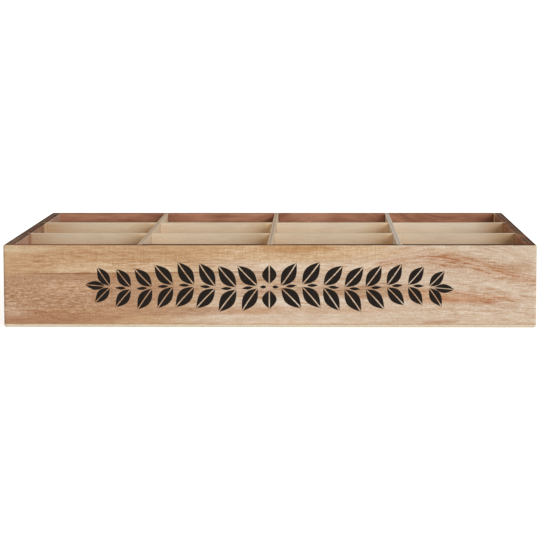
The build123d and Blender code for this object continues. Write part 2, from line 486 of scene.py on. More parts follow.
# %% Growth rings
RING_BROWN = colour("b87b52")
LINE_BROWN = colour("a5734e")
PITH_INTO = 46.0
PITH_UP = -58.0
RING_SPACING = 13.0
RING_WAVER = 5.0
RING_STRENGTH = 0.06


def ringed(tree, wood, at, figure):
    """The wood with its growth rings, and the listed lines where one ring ends."""
    rings = growth_rings(tree, at["grain"], PITH_INTO, PITH_UP, RING_SPACING, RING_WAVER)
    late = put(tree, "ShaderNodeMath", {0: rings, 1: 4.0}, operation="POWER")
    wood = tint(tree, wood, RING_BROWN, late, RING_STRENGTH)
    any_height = 1e4
    for strength, height, rise, middle, half in figure["lines"]:
        line = ring_line(tree, at["place"], height, rise)
        stretch = stain(tree, at["place"], (middle, height), (half, any_height), 0.6)
        line = put(tree, "ShaderNodeMath", {0: line, 1: stretch}, operation="MULTIPLY")
        wood = tint(tree, wood, LINE_BROWN, line, strength)
    return wood


# %% [markdown]
# ### Curl, ripples and fibres
# Where the fibres wave, light and dark dashes alternate: that is curl. The planer's knives leave
# ripples across the board. Real fibres are too fine to show, so they are drawn about a millimetre
# thick, with short flecks between them, and both are plainest where the wood is curled or toasted.

# %% Curl, ripples and fibres
def fibrous(tree, wood, at, figure, where):
    """The wood with curl, ripples, fibres and flecks, and the noises of the last two."""
    curled = marked(tree, at["place"], figure["curled"])
    curl = streaks(tree, at["grain"], (5.0, 3, 1.35))
    wood = vary(tree, wood, curl, 0.21, curled, reach=0.11)
    rippled = marked(tree, at["pulled"], figure["rippled"])
    ripples = streaks(tree, at["place"], (1.7, 30, 22), detail=1.0)
    wood = vary(tree, wood, ripples, 0.09, rippled)
    rough = strongest(tree, [(1.0, curled), (0.7, where)])
    rough = put(tree, "ShaderNodeMath", {0: rough, 1: 0.8, 2: 0.6}, operation="MULTIPLY_ADD")
    fibres = streaks(tree, at["place"], (10, 1.4, 1.25))
    wood = vary(tree, wood, fibres, 0.24, rough)
    flecks = streaks(tree, at["place"], (1.7, 1.4, 1.2), detail=1.0)
    wood = vary(tree, wood, flecks, 0.17, rough)
    return wood, fibres, flecks


# %% [markdown]
# ### The stained inside
# The stain was wiped on with a cloth, so it is cloudy. The face is painted darker low down and
# lighter just under the rim: painted shade, for the light that reaches less far into the box. The
# shade low down is its brightness low down, and under the rim it gains as much as it loses there.

# %% Stained inside
SHADED_BELOW_RIM = 13.0


def wiped_inside(tree, at, figure, rim_height, fibres):
    """The stain's colour on a board's inner face, with painted shade that darkens it lower down."""
    cloud = streaks(tree, at["grain"], (42, 8, 9), detail=4.0)
    cloud = put(tree, "ShaderNodeMapRange", {"Value": cloud, "From Min": 0.35, "From Max": 0.65})
    dark, light = [colour(tone) for tone in figure["inside"]]
    inside = cover(tree, dark, light, cloud)
    for tone, strength, middle, half, edge in figure["inside stains and shade"]:
        spot = stain(tree, at["place"], middle, half, edge)
        inside = cover(tree, inside, colour(tone), spot, strength)
    inside = vary(tree, inside, fibres, 0.09)
    # Painted shade: lighter just under the rim, darker lower down.
    painted_shade = put(tree, "ShaderNodeMapRange", {
        "Value": at["up"], "From Min": rim_height - SHADED_BELOW_RIM, "From Max": rim_height - 1.0,
        "To Min": figure["shade low down"], "To Max": 2.0 - figure["shade low down"]})
    return put(tree, "ShaderNodeVectorMath", {0: inside, "Scale": painted_shade}, operation="SCALE")


# %% [markdown]
# ### The charred rim
# Char is darkest along both edges of the rim, where the flame licked round them, and worn browner
# in the middle, with reddish places where it is thin. It ends raggedly, short of the inner edge,
# which is worn through to the stained wood, and hands have rubbed some of it away.

# %% Charred rim
CHARRED_RED = colour("6a4434")


def char_colour(tree, at, figure, wall, flecks):
    """The colour of the char across a rim as wide as the wall."""
    scuffs = streaks(tree, at["grain"], (12, 2.4, 6), detail=4.0)
    off_middle = put(tree, "ShaderNodeMath", {0: at["into"], 1: wall / 2}, operation="SUBTRACT")
    off_middle = put(tree, "ShaderNodeMath", {0: off_middle}, operation="ABSOLUTE")
    worn = put(tree, "ShaderNodeMapRange", {
        "Value": off_middle, "From Min": wall * 0.10, "From Max": wall * 0.42,
        "To Min": 0.25, "To Max": -0.25}, interpolation_type="SMOOTHSTEP")
    scuffs = put(tree, "ShaderNodeMath", {0: scuffs, 1: worn}, operation="ADD")
    scuffs = put(tree, "ShaderNodeMapRange", {"Value": scuffs, "From Min": 0.46, "From Max": 0.80})
    dark, worn_brown = [colour(tone) for tone in figure["char"]]
    char = cover(tree, dark, worn_brown, scuffs)
    reddish = streaks(tree, at["place"], (34, 9, 9))
    reddish = put(tree, "ShaderNodeMapRange", {
        "Value": reddish, "From Min": 0.46, "From Max": 0.60, "To Max": 0.70})
    char = cover(tree, char, CHARRED_RED, reddish)
    return vary(tree, char, flecks, 0.16)


def burnt_share(tree, at, figure, wall, on_top):
    """How much of the rim is char: ragged towards the inner edge, less where it was rubbed."""
    ends_at = wall - figure["worn edge"]
    ragged = figure["ragged"]
    edge_shift = streaks(tree, at["place"], (13, 30, 30), detail=4.0)
    edge_shift = put(tree, "ShaderNodeMapRange", {
        "Value": edge_shift, "From Min": 0.3, "From Max": 0.7, "To Min": -ragged, "To Max": ragged})
    edge_shift = put(tree, "ShaderNodeMath", {0: edge_shift, 1: at["into"]}, operation="ADD")
    burnt = put(tree, "ShaderNodeMapRange", {
        "Value": edge_shift, "From Min": ends_at - 0.5, "From Max": ends_at + 0.5,
        "To Min": figure["burnt"], "To Max": 0.15}, interpolation_type="SMOOTHSTEP")
    rubbed = marked(tree, at["pulled"], figure["rubbed"])
    left_over = put(tree, "ShaderNodeMath", {0: 1.0, 1: rubbed}, operation="SUBTRACT")
    burnt = put(tree, "ShaderNodeMath", {0: burnt, 1: left_over}, operation="MULTIPLY")
    return put(tree, "ShaderNodeMath", {0: burnt, 1: on_top}, operation="MULTIPLY")


# %% [markdown]
# ### The whole board
# The steps are laid over each other: the board's own tones and figure first, then the stain on the
# inside, and the char on the rim last. Two masks say which surface a point lies on, from its depth
# and its height. Fibres stand a little proud after sanding, which a fine bump shows, and soot makes
# the rim rougher than the faces.

# %% Fir material
FIBRE_RELIEF = 0.12
SOOT_ROUGHNESS = 0.35


def scorched_fir(name, turn, outer_face, rim_height, wall, figure):
    """Softwood board, flamed and finished with wax: pale to the eye with brown streaks and a
    charred rim.
    """
    material, tree = start_material("scorched fir, " + name)
    at = fir_places(tree, turn, outer_face, figure)
    wood = stained(tree, SAPWOOD, at, figure)
    wood, where = toast(tree, wood, at, figure)
    wood = ringed(tree, wood, at, figure)
    wood, fibres, flecks = fibrous(tree, wood, at, figure, where)

    inside = wiped_inside(tree, at, figure, rim_height, fibres)
    at_inside = put(tree, "ShaderNodeMapRange", {
        "Value": at["into"], "From Min": wall - 0.9, "From Max": wall - 0.3},
        interpolation_type="SMOOTHSTEP")
    on_top = put(tree, "ShaderNodeMapRange", {
        "Value": at["up"], "From Min": rim_height - 0.35, "From Max": rim_height - 0.05},
        interpolation_type="SMOOTHSTEP")
    wood = cover(tree, wood, inside, at_inside)
    wood = cover(tree, wood, inside, on_top)
    char = char_colour(tree, at, figure, wall, flecks)
    wood = cover(tree, wood, char, burnt_share(tree, at, figure, wall, on_top))

    relief = put(tree, "ShaderNodeBump", {
        "Strength": 0.35, "Distance": FIBRE_RELIEF * MM, "Height": fibres}, out="Normal")
    sheen = put(tree, "ShaderNodeMapRange", {"Value": fibres, "To Min": 0.56, "To Max": 0.76})
    sooty = put(tree, "ShaderNodeMath", {0: on_top, 1: SOOT_ROUGHNESS, 2: sheen},
                operation="MULTIPLY_ADD")
    finish = put(tree, "ShaderNodeBsdfPrincipled", {
        "Base Color": wood, "Roughness": sooty, "Specular IOR Level": 0.05, "Normal": relief})
    put(tree, "ShaderNodeOutputMaterial", {"Surface": finish})
    return material


# %% [markdown]
# ## The four boards
# A figure describes one board. Lengths are in millimetres, and a place is (along, up).
#
# - Crown, bow and levels are the arch of its grain, and the seed says which wood it is.
# - Stains, arched and inside stains are (tone, strength, middle, half size, softness).
# - Streaked, curled, rippled and rubbed are the same without a tone.
# - Stains, arched and inside stains and shade are (tone, strength, middle, half size, softness).
# - Inside and char are pairs of tones. Burnt is how fully the char covers the rim, worn edge is how
#   far from the inner edge it ends, and ragged is how unevenly.

# %% Measures of the boards
wall = (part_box("left_side_panel")[1].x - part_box("left_side_panel")[0].x) / MM
rim_height = cad_high.z / MM
half_width = cad_high.x / MM
half_depth = cad_high.y / MM
print("The boards are", round(wall, 1), "mm thick and end", round(rim_height, 1), "mm up")

# %% Front board
# Honey coloured, with arches at the right, curl at the left and one long ring line.
front_figure = {
    "crown": 132.0, "bow": 5.8e-5, "level left": 60.0, "level right": 95.0, "seed": 0,
    "stains": [
        ("cba57d", 0.95, (-205, 60), (200, 120), 0.40),
        ("dfc3a1", 0.85, (-116, 50.5), (104, 7), 0.60),
        ("bc9576", 0.92, (-200, 30), (168, 18), 0.30),
        ("b18365", 0.85, (-215, 7), (112, 11.5), 0.50),
        ("bb9172", 0.70, (-90, 14), (85, 6), 0.60),
        ("d9b68d", 0.85, (15, 66), (120, 15), 0.50),
        ("c08f5e", 0.75, (18, 68), (40, 7), 0.50),
        ("c9a075", 0.60, (-60, 65), (40, 12), 0.60),
        ("c5a384", 0.55, (-5, 35), (60, 15), 0.60),
        ("e8d8c4", 0.92, (38, 21.5), (54, 6), 0.60),
        ("e9d4ba", 0.80, (20, 50), (100, 7), 0.60),
        ("dabf9f", 0.50, (0, 37), (46, 6), 0.60),
        ("be9876", 0.75, (80, 31), (70, 8), 0.60),
        ("ead6bd", 0.80, (85, 52), (30, 6), 0.60),
        ("e4ccb0", 0.60, (138, 66.5), (34, 4.5), 0.60),
        ("c9976d", 0.62, (134, 27), (38, 9), 0.60),
        ("c68e63", 0.60, (168, 24.5), (44, 6), 0.70),
        ("b9835a", 0.55, (148, 4), (13, 3.5), 0.70),
        ("cfa37c", 0.35, (40, 15), (120, 5), 0.60),
        ("e8cfb5", 0.65, (18, 3), (78, 5), 0.70),
        ("c08a5c", 0.45, (-14, 14), (26, 4), 0.60),
        ("d3ac8a", 0.55, (-172, 34), (26, 8), 0.70),
        ("b98a60", 0.48, (203, 51), (22, 6.5), 0.70),
        ("d9bf9e", 0.80, (-226, 67), (50, 6), 0.70),
        ("d2b497", 0.75, (-220, 15), (36, 9), 0.90),
    ],
    "arched": [
        ("c69269", 0.56, (170, 58.5), (135, 11), 0.80),
    ],
    "streaked": [
        (0.80, (160, 57), (140, 17), 0.7),
        (0.78, (178, 30), (70, 11), 0.7),
        (0.50, (40, 42), (120, 34), 0.6),
        (0.45, (-120, 66), (150, 20), 0.6),
        (0.35, (190, 45), (80, 60), 0.6),
    ],
    "lines": [
        (0.70, 48.2, 0.0095, -90, 150),
    ],
    "curled": [
        (1.0, (-185, 26), (105, 26), 0.7),
        (0.40, (-70, 26), (90, 24), 0.7),
        (0.30, (150, 20), (80, 22), 0.7),
        (0.40, (10, 63), (110, 12), 0.7),
    ],
    "rippled": [
        (1.1, (-140, 60), (110, 14), 0.6),
        (1.1, (20, 64), (100, 12), 0.6),
        (0.35, (180, 40), (60, 40), 0.6),
    ],
    "inside": ("8a5a43", "b17e65"),
    "inside stains and shade": [],
    "shade low down": 0.9,
    "char": ("28150a", "432a19"), "burnt": 1.0, "worn edge": 0.0, "ragged": 0.6,
    "rubbed": [
        (0.60, (-190, 70), (90, 400), 0.6),
        (0.35, (0, 70), (18, 400), 0.6),
    ],
}
print("The front board has", len(front_figure["stains"]), "stains")

# %% Back board
# Plainer outside. The inner face, which shows over the dividers, has painted shade at its right
# end, for the shadow in that corner.
back_figure = {
    "crown": -60.0, "bow": 0.9e-4, "level left": 90.0, "level right": 80.0, "seed": 1,
    "stains": [
        ("d2aa82", 0.65, (-50, 42), (220, 70), 0.4),
        ("c59e77", 0.85, (150, 40), (150, 80), 0.5),
        ("b08062", 0.65, (60, 10), (150, 14), 0.6),
        ("c08d62", 0.60, (-150, 62), (90, 12), 0.5),
    ],
    "arched": [],
    "streaked": [
        (0.8, (-60, 50), (130, 20), 0.6),
        (0.6, (-150, 25), (80, 14), 0.6),
        (0.3, (120, 45), (120, 30), 0.6),
    ],
    "lines": [
        (0.7, 30.0, -0.012, 130, 140),
    ],
    "curled": [
        (0.8, (170, 50), (90, 24), 0.7),
        (0.3, (-60, 20), (120, 22), 0.7),
    ],
    "rippled": [
        (0.8, (120, 20), (120, 16), 0.6),
        (0.6, (-150, 50), (80, 20), 0.6),
    ],
    "inside": ("90604a", "b98469"),
    "inside stains and shade": [
        # Painted shade: this dark spot at the right end stands for the shadow in the corner.
        ("54301f", 0.85, (-222, 30), (38, 60), 0.7),
        ("c8967b", 0.50, (-36, 66), (28, 9), 0.6),
        ("c8967b", 0.45, (27, 69.5), (26, 3.5), 0.6),
    ],
    "shade low down": 0.87,
    "char": ("4f3528", "80583f"), "burnt": 0.85, "worn edge": 0.4, "ragged": 0.5,
    "rubbed": [
        (0.5, (-60, 70), (90, 400), 0.6),
    ],
}
print("The back board has", len(back_figure["stains"]), "stains")

# %% Left board
# The inner face is the lightest, with a pale strip just in front of the back divider.
left_figure = {
    "crown": 60.0, "bow": 0.8e-4, "level left": 80.0, "level right": 90.0, "seed": 2,
    "stains": [
        ("d2aa82", 0.60, (80, 42), (150, 70), 0.4),
        ("c59e77", 0.85, (-70, 45), (120, 60), 0.5),
        ("b08062", 0.60, (-110, 10), (100, 16), 0.6),
    ],
    "arched": [
        ("c0946c", 0.7, (60, 55), (80, 10), 0.6),
    ],
    "streaked": [
        (0.8, (70, 52), (90, 16), 0.6),
        (0.7, (90, 22), (70, 12), 0.6),
    ],
    "lines": [
        (0.6, 40.0, 0.015, -80, 110),
    ],
    "curled": [
        (0.8, (-90, 30), (80, 22), 0.7),
    ],
    "rippled": [
        (0.9, (-60, 60), (110, 14), 0.6),
    ],
    "inside": ("a8836b", "cda98f"),
    "inside stains and shade": [
        ("dcbb96", 0.90, (-44, 40), (18, 200), 0.2),
        ("98583d", 0.60, (-20, 40), (14, 80), 0.6),
        ("987057", 0.75, (4, 40), (52, 80), 0.35),
        ("a86f50", 0.60, (66, 40), (12, 80), 0.5),
        ("ad8b7a", 0.65, (-115, 40), (60, 90), 0.5),
    ],
    "shade low down": 0.92,
    "char": ("3c2a20", "765b49"), "burnt": 0.96, "worn edge": 0.3, "ragged": 0.7,
    "rubbed": [
        (0.18, (130, 70), (50, 400), 0.6),
    ],
}
print("The left board has", len(left_figure["stains"]), "stains")

# %% Right board
# The inner face is the darkest, and the rim is worn through along its inner edge.
right_figure = {
    "crown": -40.0, "bow": 1.1e-4, "level left": 90.0, "level right": 80.0, "seed": 3,
    "stains": [
        ("d2aa82", 0.60, (-20, 30), (190, 70), 0.4),
        ("c39468", 0.70, (-40, 62), (110, 16), 0.5),
        ("c59e77", 0.75, (130, 30), (100, 60), 0.5),
        ("b08062", 0.50, (130, 8), (90, 14), 0.6),
    ],
    "arched": [
        ("c0946c", 0.6, (-40, 52), (80, 9), 0.6),
    ],
    "streaked": [
        (0.85, (-30, 50), (110, 18), 0.6),
        (0.5, (80, 22), (80, 14), 0.6),
    ],
    "lines": [
        (0.6, 36.0, -0.02, 80, 120),
    ],
    "curled": [
        (0.7, (120, 40), (80, 24), 0.7),
    ],
    "rippled": [
        (0.8, (60, 60), (100, 14), 0.6),
    ],
    "inside": ("87573f", "ab795b"),
    "inside stains and shade": [
        ("cba583", 0.90, (166, 40), (25, 200), 0.15),
        ("a87f5e", 0.80, (-62, 40), (30, 200), 0.3),
    ],
    "shade low down": 0.92,
    "char": ("38291f", "7c604d"), "burnt": 0.94, "worn edge": 1.7, "ragged": 1.6,
    "rubbed": [
        (0.40, (-84, 70), (22, 400), 0.6),
    ],
}
print("The right board has", len(right_figure["stains"]), "stains")

# %% Dress the boards
boards = {
    "front_panel": (0.0, half_depth, front_figure),
    "back_panel": (math.pi, half_depth, back_figure),
    "left_side_panel": (math.pi / 2, half_width, left_figure),
    "right_side_panel": (-math.pi / 2, half_width, right_figure),
}
for node, (turn, outer_face, figure) in boards.items():
    fir = scorched_fir(node, turn, outer_face, rim_height, wall, figure)
    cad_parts[node].data.materials.clear()
    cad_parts[node].data.materials.append(fir)
    print(node, "is", fir.name, "with", len(fir.node_tree.nodes), "nodes")

# %% [markdown]
# ## Plywood
# Plywood is thin sheets of wood glued across each other. Its faces are sanded veneer, pale and
# quiet, with short faint fibres. The veneer is peeled off a turning log, so the knife cuts each
# growth ring at a very flat angle, and the rings show as wide wavy contours, like the heights on a
# map. Painted light makes a strip along the top of each sheet paler, and the face darker and
# warmer further down, where less light reaches inside the box.

# %% Veneer
X_AXIS, Y_AXIS, Z_AXIS = 0, 1, 2
CONTOURS = 13.0
PAINTED_LIGHT_BELOW_RIM = 12.0


def veneer_face(tree, place, axes, sheet):
    """A sheet's face: its tone, paler near the rim by painted light, its contours and the way it
    pales towards one end.
    """
    # Painted light: the face is paler towards the rim and darker and warmer lower down.
    painted_top_light = put(tree, "ShaderNodeMapRange", {
        "Value": axes[Z_AXIS], "From Min": rim_height - PAINTED_LIGHT_BELOW_RIM,
        "From Max": rim_height - 1.0})
    face = cover(tree, colour(sheet["veneer"]), colour(sheet["lit_near_rim"]), painted_top_light)
    depth = streaks(tree, place, (240, 60, 60), detail=2.0, roughness=0.4)
    depth = put(tree, "ShaderNodeMath", {0: depth, 1: CONTOURS}, operation="MULTIPLY")
    contours = put(tree, "ShaderNodeMath", {0: depth}, operation="FRACT")
    face = vary(tree, face, contours, sheet["peeled"], reach=0.5)
    length_share = put(tree, "ShaderNodeMath", {
        0: axes[X_AXIS], 1: 0.5 / sheet["half length"], 2: 0.5}, operation="MULTIPLY_ADD")
    return vary(tree, face, length_share, sheet["slope"], reach=0.5)


def veneer_shade(tree, fibres, clouds):
    """A factor that makes the face a little lighter and darker, along fibres and in clouds."""
    shade = put(tree, "ShaderNodeMapRange", {
        "Value": fibres, "From Min": 0.3, "From Max": 0.7, "To Min": 0.94, "To Max": 1.06})
    slow = put(tree, "ShaderNodeMapRange", {
        "Value": clouds, "From Min": 0.3, "From Max": 0.7, "To Min": 0.96, "To Max": 1.04})
    return put(tree, "ShaderNodeMath", {0: shade, 1: slow}, operation="MULTIPLY")


# %% [markdown]
# ### Painted shade in the corners and at the ends
# The long dividers have painted warm shade towards the right of each compartment, where the cross
# divider shades them: the wood is a little deeper and yellower there. Right in the corner painted
# light makes the wood lighter again, for light bounced off the cross divider. The compartments
# repeat, so a fraction of the length counts them. The dividers' ends, where they meet the walls,
# have painted warm shade too, and noise keeps its edge from being straight.

# %% Painted corner and end shade
# Painted warm shade and painted light in each compartment's corner, and painted warm shade at the
# ends.
PAINTED_WARM_SHADE = colour("f6eada")
WARM_SHADE_BEGINS, WARM_SHADE_FULL = 0.68, 0.96
CORNER_LIGHT_BEGINS, CORNER_LIGHT_FULL = 0.91, 0.975
CORNER_LIGHT_GAIN = 0.34
PAINTED_END_SHADE = colour("b58c64")
END_SHADE_WANDER = 24.0
END_SHADE_BEGINS, END_SHADE_FULL = 30.0, 8.0
cross_pitch = (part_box("cross_divider_right")[0].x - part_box("cross_divider_centre")[0].x) / MM
print("A compartment every", round(cross_pitch, 1), "mm")


def shaded_corners(tree, face, axes, corner_shade):
    """The face with painted warm shade towards each compartment's right corner, and painted light in
    the corner itself.
    """
    compartment = put(tree, "ShaderNodeMath", {
        0: axes[X_AXIS], 1: 1.0 / cross_pitch, 2: 3.0}, operation="MULTIPLY_ADD")
    compartment = put(tree, "ShaderNodeMath", {0: compartment}, operation="FRACT")
    # Painted warm shade: deeper and yellower towards the right corner, where the cross divider
    # shades it.
    corner = put(tree, "ShaderNodeMapRange", {
        "Value": compartment, "From Min": WARM_SHADE_BEGINS, "From Max": WARM_SHADE_FULL},
        interpolation_type="SMOOTHSTEP")
    face = tint(tree, face, PAINTED_WARM_SHADE, corner, corner_shade)
    # Painted light: lighter again in the corner itself, for light bounced off the cross divider.
    corner_light = put(tree, "ShaderNodeMapRange", {
        "Value": compartment, "From Min": CORNER_LIGHT_BEGINS, "From Max": CORNER_LIGHT_FULL,
        "To Min": 1.0, "To Max": 1.0 + CORNER_LIGHT_GAIN * corner_shade})
    return put(tree, "ShaderNodeVectorMath", {0: face, "Scale": corner_light}, operation="SCALE")


def shaded_ends(tree, face, axes, clouds, half_length, strength):
    """The face with painted warm shade at both of its ends, where it meets the walls."""
    from_middle = put(tree, "ShaderNodeMath", {0: axes[X_AXIS]}, operation="ABSOLUTE")
    from_middle = put(tree, "ShaderNodeMath", {0: clouds, 1: END_SHADE_WANDER, 2: from_middle},
                      operation="MULTIPLY_ADD")
    at_end = put(tree, "ShaderNodeMapRange", {
        "Value": from_middle, "From Min": half_length - END_SHADE_BEGINS,
        "From Max": half_length + END_SHADE_FULL}, interpolation_type="SMOOTHSTEP")
    return cover(tree, face, PAINTED_END_SHADE, at_end, strength)


# %% [markdown]
# ### Layers at the edge
# The edge shows the veneers side by side. The outer two have their fibres along the edge and are
# cream. The core between them is cut across its fibres and looks greyer, with a thin dark glue line
# on each side of it. The distance from the sheet's middle tells them apart.
#
# The base was under the flame with the boards, so its edge has an uneven toasted line along the
# seam above it, and a few toasted spots.

# %% Layers at the edge
GLUE = colour("6e5a48")
GLUE_HALF = 0.09
GLUE_SHOWS = 0.22
TOASTED_EDGE = colour("c39a70")
SEAM_WANDER = 1.6


def layered_edge(tree, place, axes, sheet):
    """Two outer layers, a core a third as thick as the sheet, and glue between them."""
    core_half = sheet["thickness"] / 6
    off = put(tree, "ShaderNodeMath", {0: axes[sheet["across"]], 1: sheet["middle"]},
              operation="SUBTRACT")
    off = put(tree, "ShaderNodeMath", {0: off}, operation="ABSOLUTE")
    core = put(tree, "ShaderNodeMath", {0: off, 1: core_half}, operation="LESS_THAN")
    layer = cover(tree, colour(sheet["outer layers"]), colour(sheet["core"]), core)
    glue = put(tree, "ShaderNodeMath", {0: off, 1: core_half, 2: GLUE_HALF}, operation="COMPARE")
    layer = cover(tree, layer, GLUE, glue, GLUE_SHOWS)
    pores = streaks(tree, place, (2.2, 0.6, 0.6))
    pores = put(tree, "ShaderNodeMapRange", {
        "Value": pores, "From Min": 0.3, "From Max": 0.7, "To Min": 0.90, "To Max": 1.08})
    return put(tree, "ShaderNodeVectorMath", {0: layer, "Scale": pores}, operation="SCALE")


def toasted_edge(tree, layer, place, axes, sheet):
    """The edge with toast along the seam above it, and in spots."""
    top = sheet["middle"] + sheet["thickness"] / 2
    seam_wander = streaks(tree, place, (9, 9, 40), detail=4.0)
    below_seam = put(tree, "ShaderNodeMath", {0: top, 1: axes[Z_AXIS]}, operation="SUBTRACT")
    below_seam = put(tree, "ShaderNodeMath", {0: seam_wander, 1: -SEAM_WANDER, 2: below_seam},
                     operation="MULTIPLY_ADD")
    at_seam = put(tree, "ShaderNodeMapRange", {
        "Value": below_seam, "From Min": -0.35, "From Max": 0.15, "To Min": 1.0, "To Max": 0.0},
        interpolation_type="SMOOTHSTEP")
    spots = streaks(tree, place, (3.0, 3.0, 1.1), detail=2.0)
    spots = put(tree, "ShaderNodeMapRange", {
        "Value": spots, "From Min": 0.60, "From Max": 0.72, "To Max": 0.7},
        interpolation_type="SMOOTHSTEP")
    at_seam = put(tree, "ShaderNodeMath", {0: at_seam, 1: spots}, operation="MAXIMUM")
    return cover(tree, layer, TOASTED_EDGE, at_seam, sheet["toasted"])


# %% [markdown]
# ### The whole sheet
# A surface is an edge where it doesn't face across the sheet, and the normal in object coordinates
# tells that. A sheet that runs front to back is turned first, so that its fibres run along it too.
#
# A sheet is described by a dictionary. Turn is how far it is turned. End shade, toasted and
# corner shade are the strengths of the painted warm shade at its ends, the toast on its edge and
# the painted shade and light in its corners. Peeled is how strong its contours are, and slope is
# how much paler than the middle its right end is.

# %% Plywood material
PLAIN_SHEET = {
    "turn": 0.0, "end shade": 0.55, "peeled": 0.02, "slope": 0.0, "corner_shade": 0.0, "toasted": 0.0,
}
FACE_NORMAL = 0.85


def plywood(name, sheet):
    """Sanded plywood: matt and pale, with its layers showing at the edges."""
    material, tree = start_material("sanded plywood, " + name)
    turn = (0, 0, sheet["turn"])
    place = put(tree, "ShaderNodeTexCoord", out="Object")
    place = put(tree, "ShaderNodeMapping", {
        "Vector": place, "Rotation": turn, "Scale": (1 / MM, 1 / MM, 1 / MM)})
    axes = put(tree, "ShaderNodeSeparateXYZ", {0: place}).node.outputs
    fibres = streaks(tree, place, (16, 1.2, 1.2))
    clouds = streaks(tree, place, (70, 30, 26), detail=2.0)

    face = veneer_face(tree, place, axes, sheet)
    # Painted warm shade and light in the corners, and painted warm shade at both ends.
    face = shaded_corners(tree, face, axes, sheet["corner_shade"])
    face = shaded_ends(tree, face, axes, clouds, sheet["half length"], sheet["end shade"])
    shade = veneer_shade(tree, fibres, clouds)
    face = put(tree, "ShaderNodeVectorMath", {0: face, "Scale": shade}, operation="SCALE")
    layer = layered_edge(tree, place, axes, sheet)
    layer = toasted_edge(tree, layer, place, axes, sheet)

    normal = put(tree, "ShaderNodeTexCoord", out="Normal")
    normal = put(tree, "ShaderNodeMapping", {"Vector": normal, "Rotation": turn})
    facing = put(tree, "ShaderNodeSeparateXYZ", {0: normal}).node.outputs[sheet["across"]]
    facing = put(tree, "ShaderNodeMath", {0: facing}, operation="ABSOLUTE")
    flat = put(tree, "ShaderNodeMath", {0: facing, 1: FACE_NORMAL}, operation="GREATER_THAN")
    wood = cover(tree, layer, face, flat)
    relief = put(tree, "ShaderNodeBump", {
        "Strength": 0.25, "Distance": 0.08 * MM, "Height": fibres}, out="Normal")
    finish = put(tree, "ShaderNodeBsdfPrincipled", {
        "Base Color": wood, "Roughness": 0.8, "Specular IOR Level": 0.1, "Normal": relief})
    put(tree, "ShaderNodeOutputMaterial", {"Surface": finish})
    return material


# %% Dividers
# The sheets differ a little. The tones are the veneer's, low down and near the rim, where painted
# light makes it paler, and the edge's outer layers and core, and the last value is the slope.
sheet_tones = {
    "long_divider_front": ("dbbf9e", "e5d2b6", "dccdb1", "c0b29c", 0.025),
    "long_divider_back": ("dec4a4", "e8d7bd", "dccdb1", "c0b29c", 0.12),
    "cross_divider_left": ("dbbf9e", "e5d2b6", "d6bea0", "bba693", 0.0),
    "cross_divider_centre": ("dbbf9e", "e5d2b6", "d6bea0", "bba693", 0.0),
    "cross_divider_right": ("dbbf9e", "e5d2b6", "dfd0be", "c5b8ad", 0.0),
}
for node, (veneer, lit_near_rim, outer_layers, core, slope) in sheet_tones.items():
    low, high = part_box(node)
    crosswise = node.startswith("cross")
    thin_axis = X_AXIS if crosswise else Y_AXIS
    long_axis = Y_AXIS if crosswise else X_AXIS
    thickness = (high[thin_axis] - low[thin_axis]) / MM
    # A cross divider is turned a quarter, so that its fibres run along it. That swaps X for Y.
    ply = plywood(node, {
        **PLAIN_SHEET, "turn": math.pi / 2 if crosswise else 0.0, "across": Y_AXIS,
        "middle": (low[thin_axis] + high[thin_axis]) / 2 / MM, "thickness": thickness,
        "half length": (high[long_axis] - low[long_axis]) / 2 / MM,
        "veneer": veneer, "lit_near_rim": lit_near_rim, "outer layers": outer_layers, "core": core,
        "slope": slope, "corner_shade": 0.0 if crosswise else 1.0})
    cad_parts[node].data.materials.clear()
    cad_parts[node].data.materials.append(ply)
    print(node, "is a sheet", round(thickness, 1), "mm thick")

# %% Base
low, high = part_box("base_panel")
thickness = (high.z - low.z) / MM
base_ply = plywood("base", {
    **PLAIN_SHEET, "across": Z_AXIS, "middle": (low.z + high.z) / 2 / MM, "thickness": thickness,
    "half length": half_width, "veneer": "e2cdac", "lit_near_rim": "e2cdac",
    "outer layers": "f1e6d1", "core": "ecdfc9", "end shade": 0.0, "peeled": 0.05, "toasted": 0.75})
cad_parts["base_panel"].data.materials.clear()
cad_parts["base_panel"].data.materials.append(base_ply)
print("The base is", round(thickness, 1), "mm thick")

# %% [markdown]
# ## Geometry trees
# The fasteners and the stencilled leaves are small shapes that repeat, which is work for Geometry
# Nodes. A tree has a named input for every size, in millimetres, and each input has a value to
# start from. A modifier runs the tree with the values of one row. The mesh that it makes is kept
# and the modifier taken away, so that the finished piece is plain and easy to hand on.

# %% Start and run a tree
def start_tree(name, sizes):
    """A tree with one named input for each size, and the sockets that hand the sizes out."""
    kinds = {int: "NodeSocketInt", float: "NodeSocketFloat", tuple: "NodeSocketVector",
             bpy.types.Object: "NodeSocketObject", bpy.types.Material: "NodeSocketMaterial"}
    tree = bpy.data.node_groups.new(name, "GeometryNodeTree")
    for label, value in sizes.items():
        socket = tree.interface.new_socket(label, in_out="INPUT", socket_type=kinds[type(value)])
        socket.default_value = value
    tree.interface.new_socket("Geometry", in_out="OUTPUT", socket_type="NodeSocketGeometry")
    return tree, put(tree, "NodeGroupInput").node.outputs


def run_tree(name, tree, changes):
    """A plain mesh object, made by a tree with some of its inputs changed."""
    piece = bpy.data.objects.new(name, bpy.data.meshes.new(name))
    bpy.context.scene.collection.objects.link(piece)
    modifier = piece.modifiers.new("make", "NODES")
    modifier.node_group = tree
    for socket in tree.interface.items_tree:
        if socket.in_out == "INPUT":
            modifier[socket.identifier] = changes.get(socket.name, socket.default_value)
    seen = piece.evaluated_get(bpy.context.evaluated_depsgraph_get())
    made = bpy.data.meshes.new_from_object(seen)
    piece.modifiers.clear()
    piece.data = made
    made.name = name
    print(name, "has", len(made.polygons), "faces")
    return piece


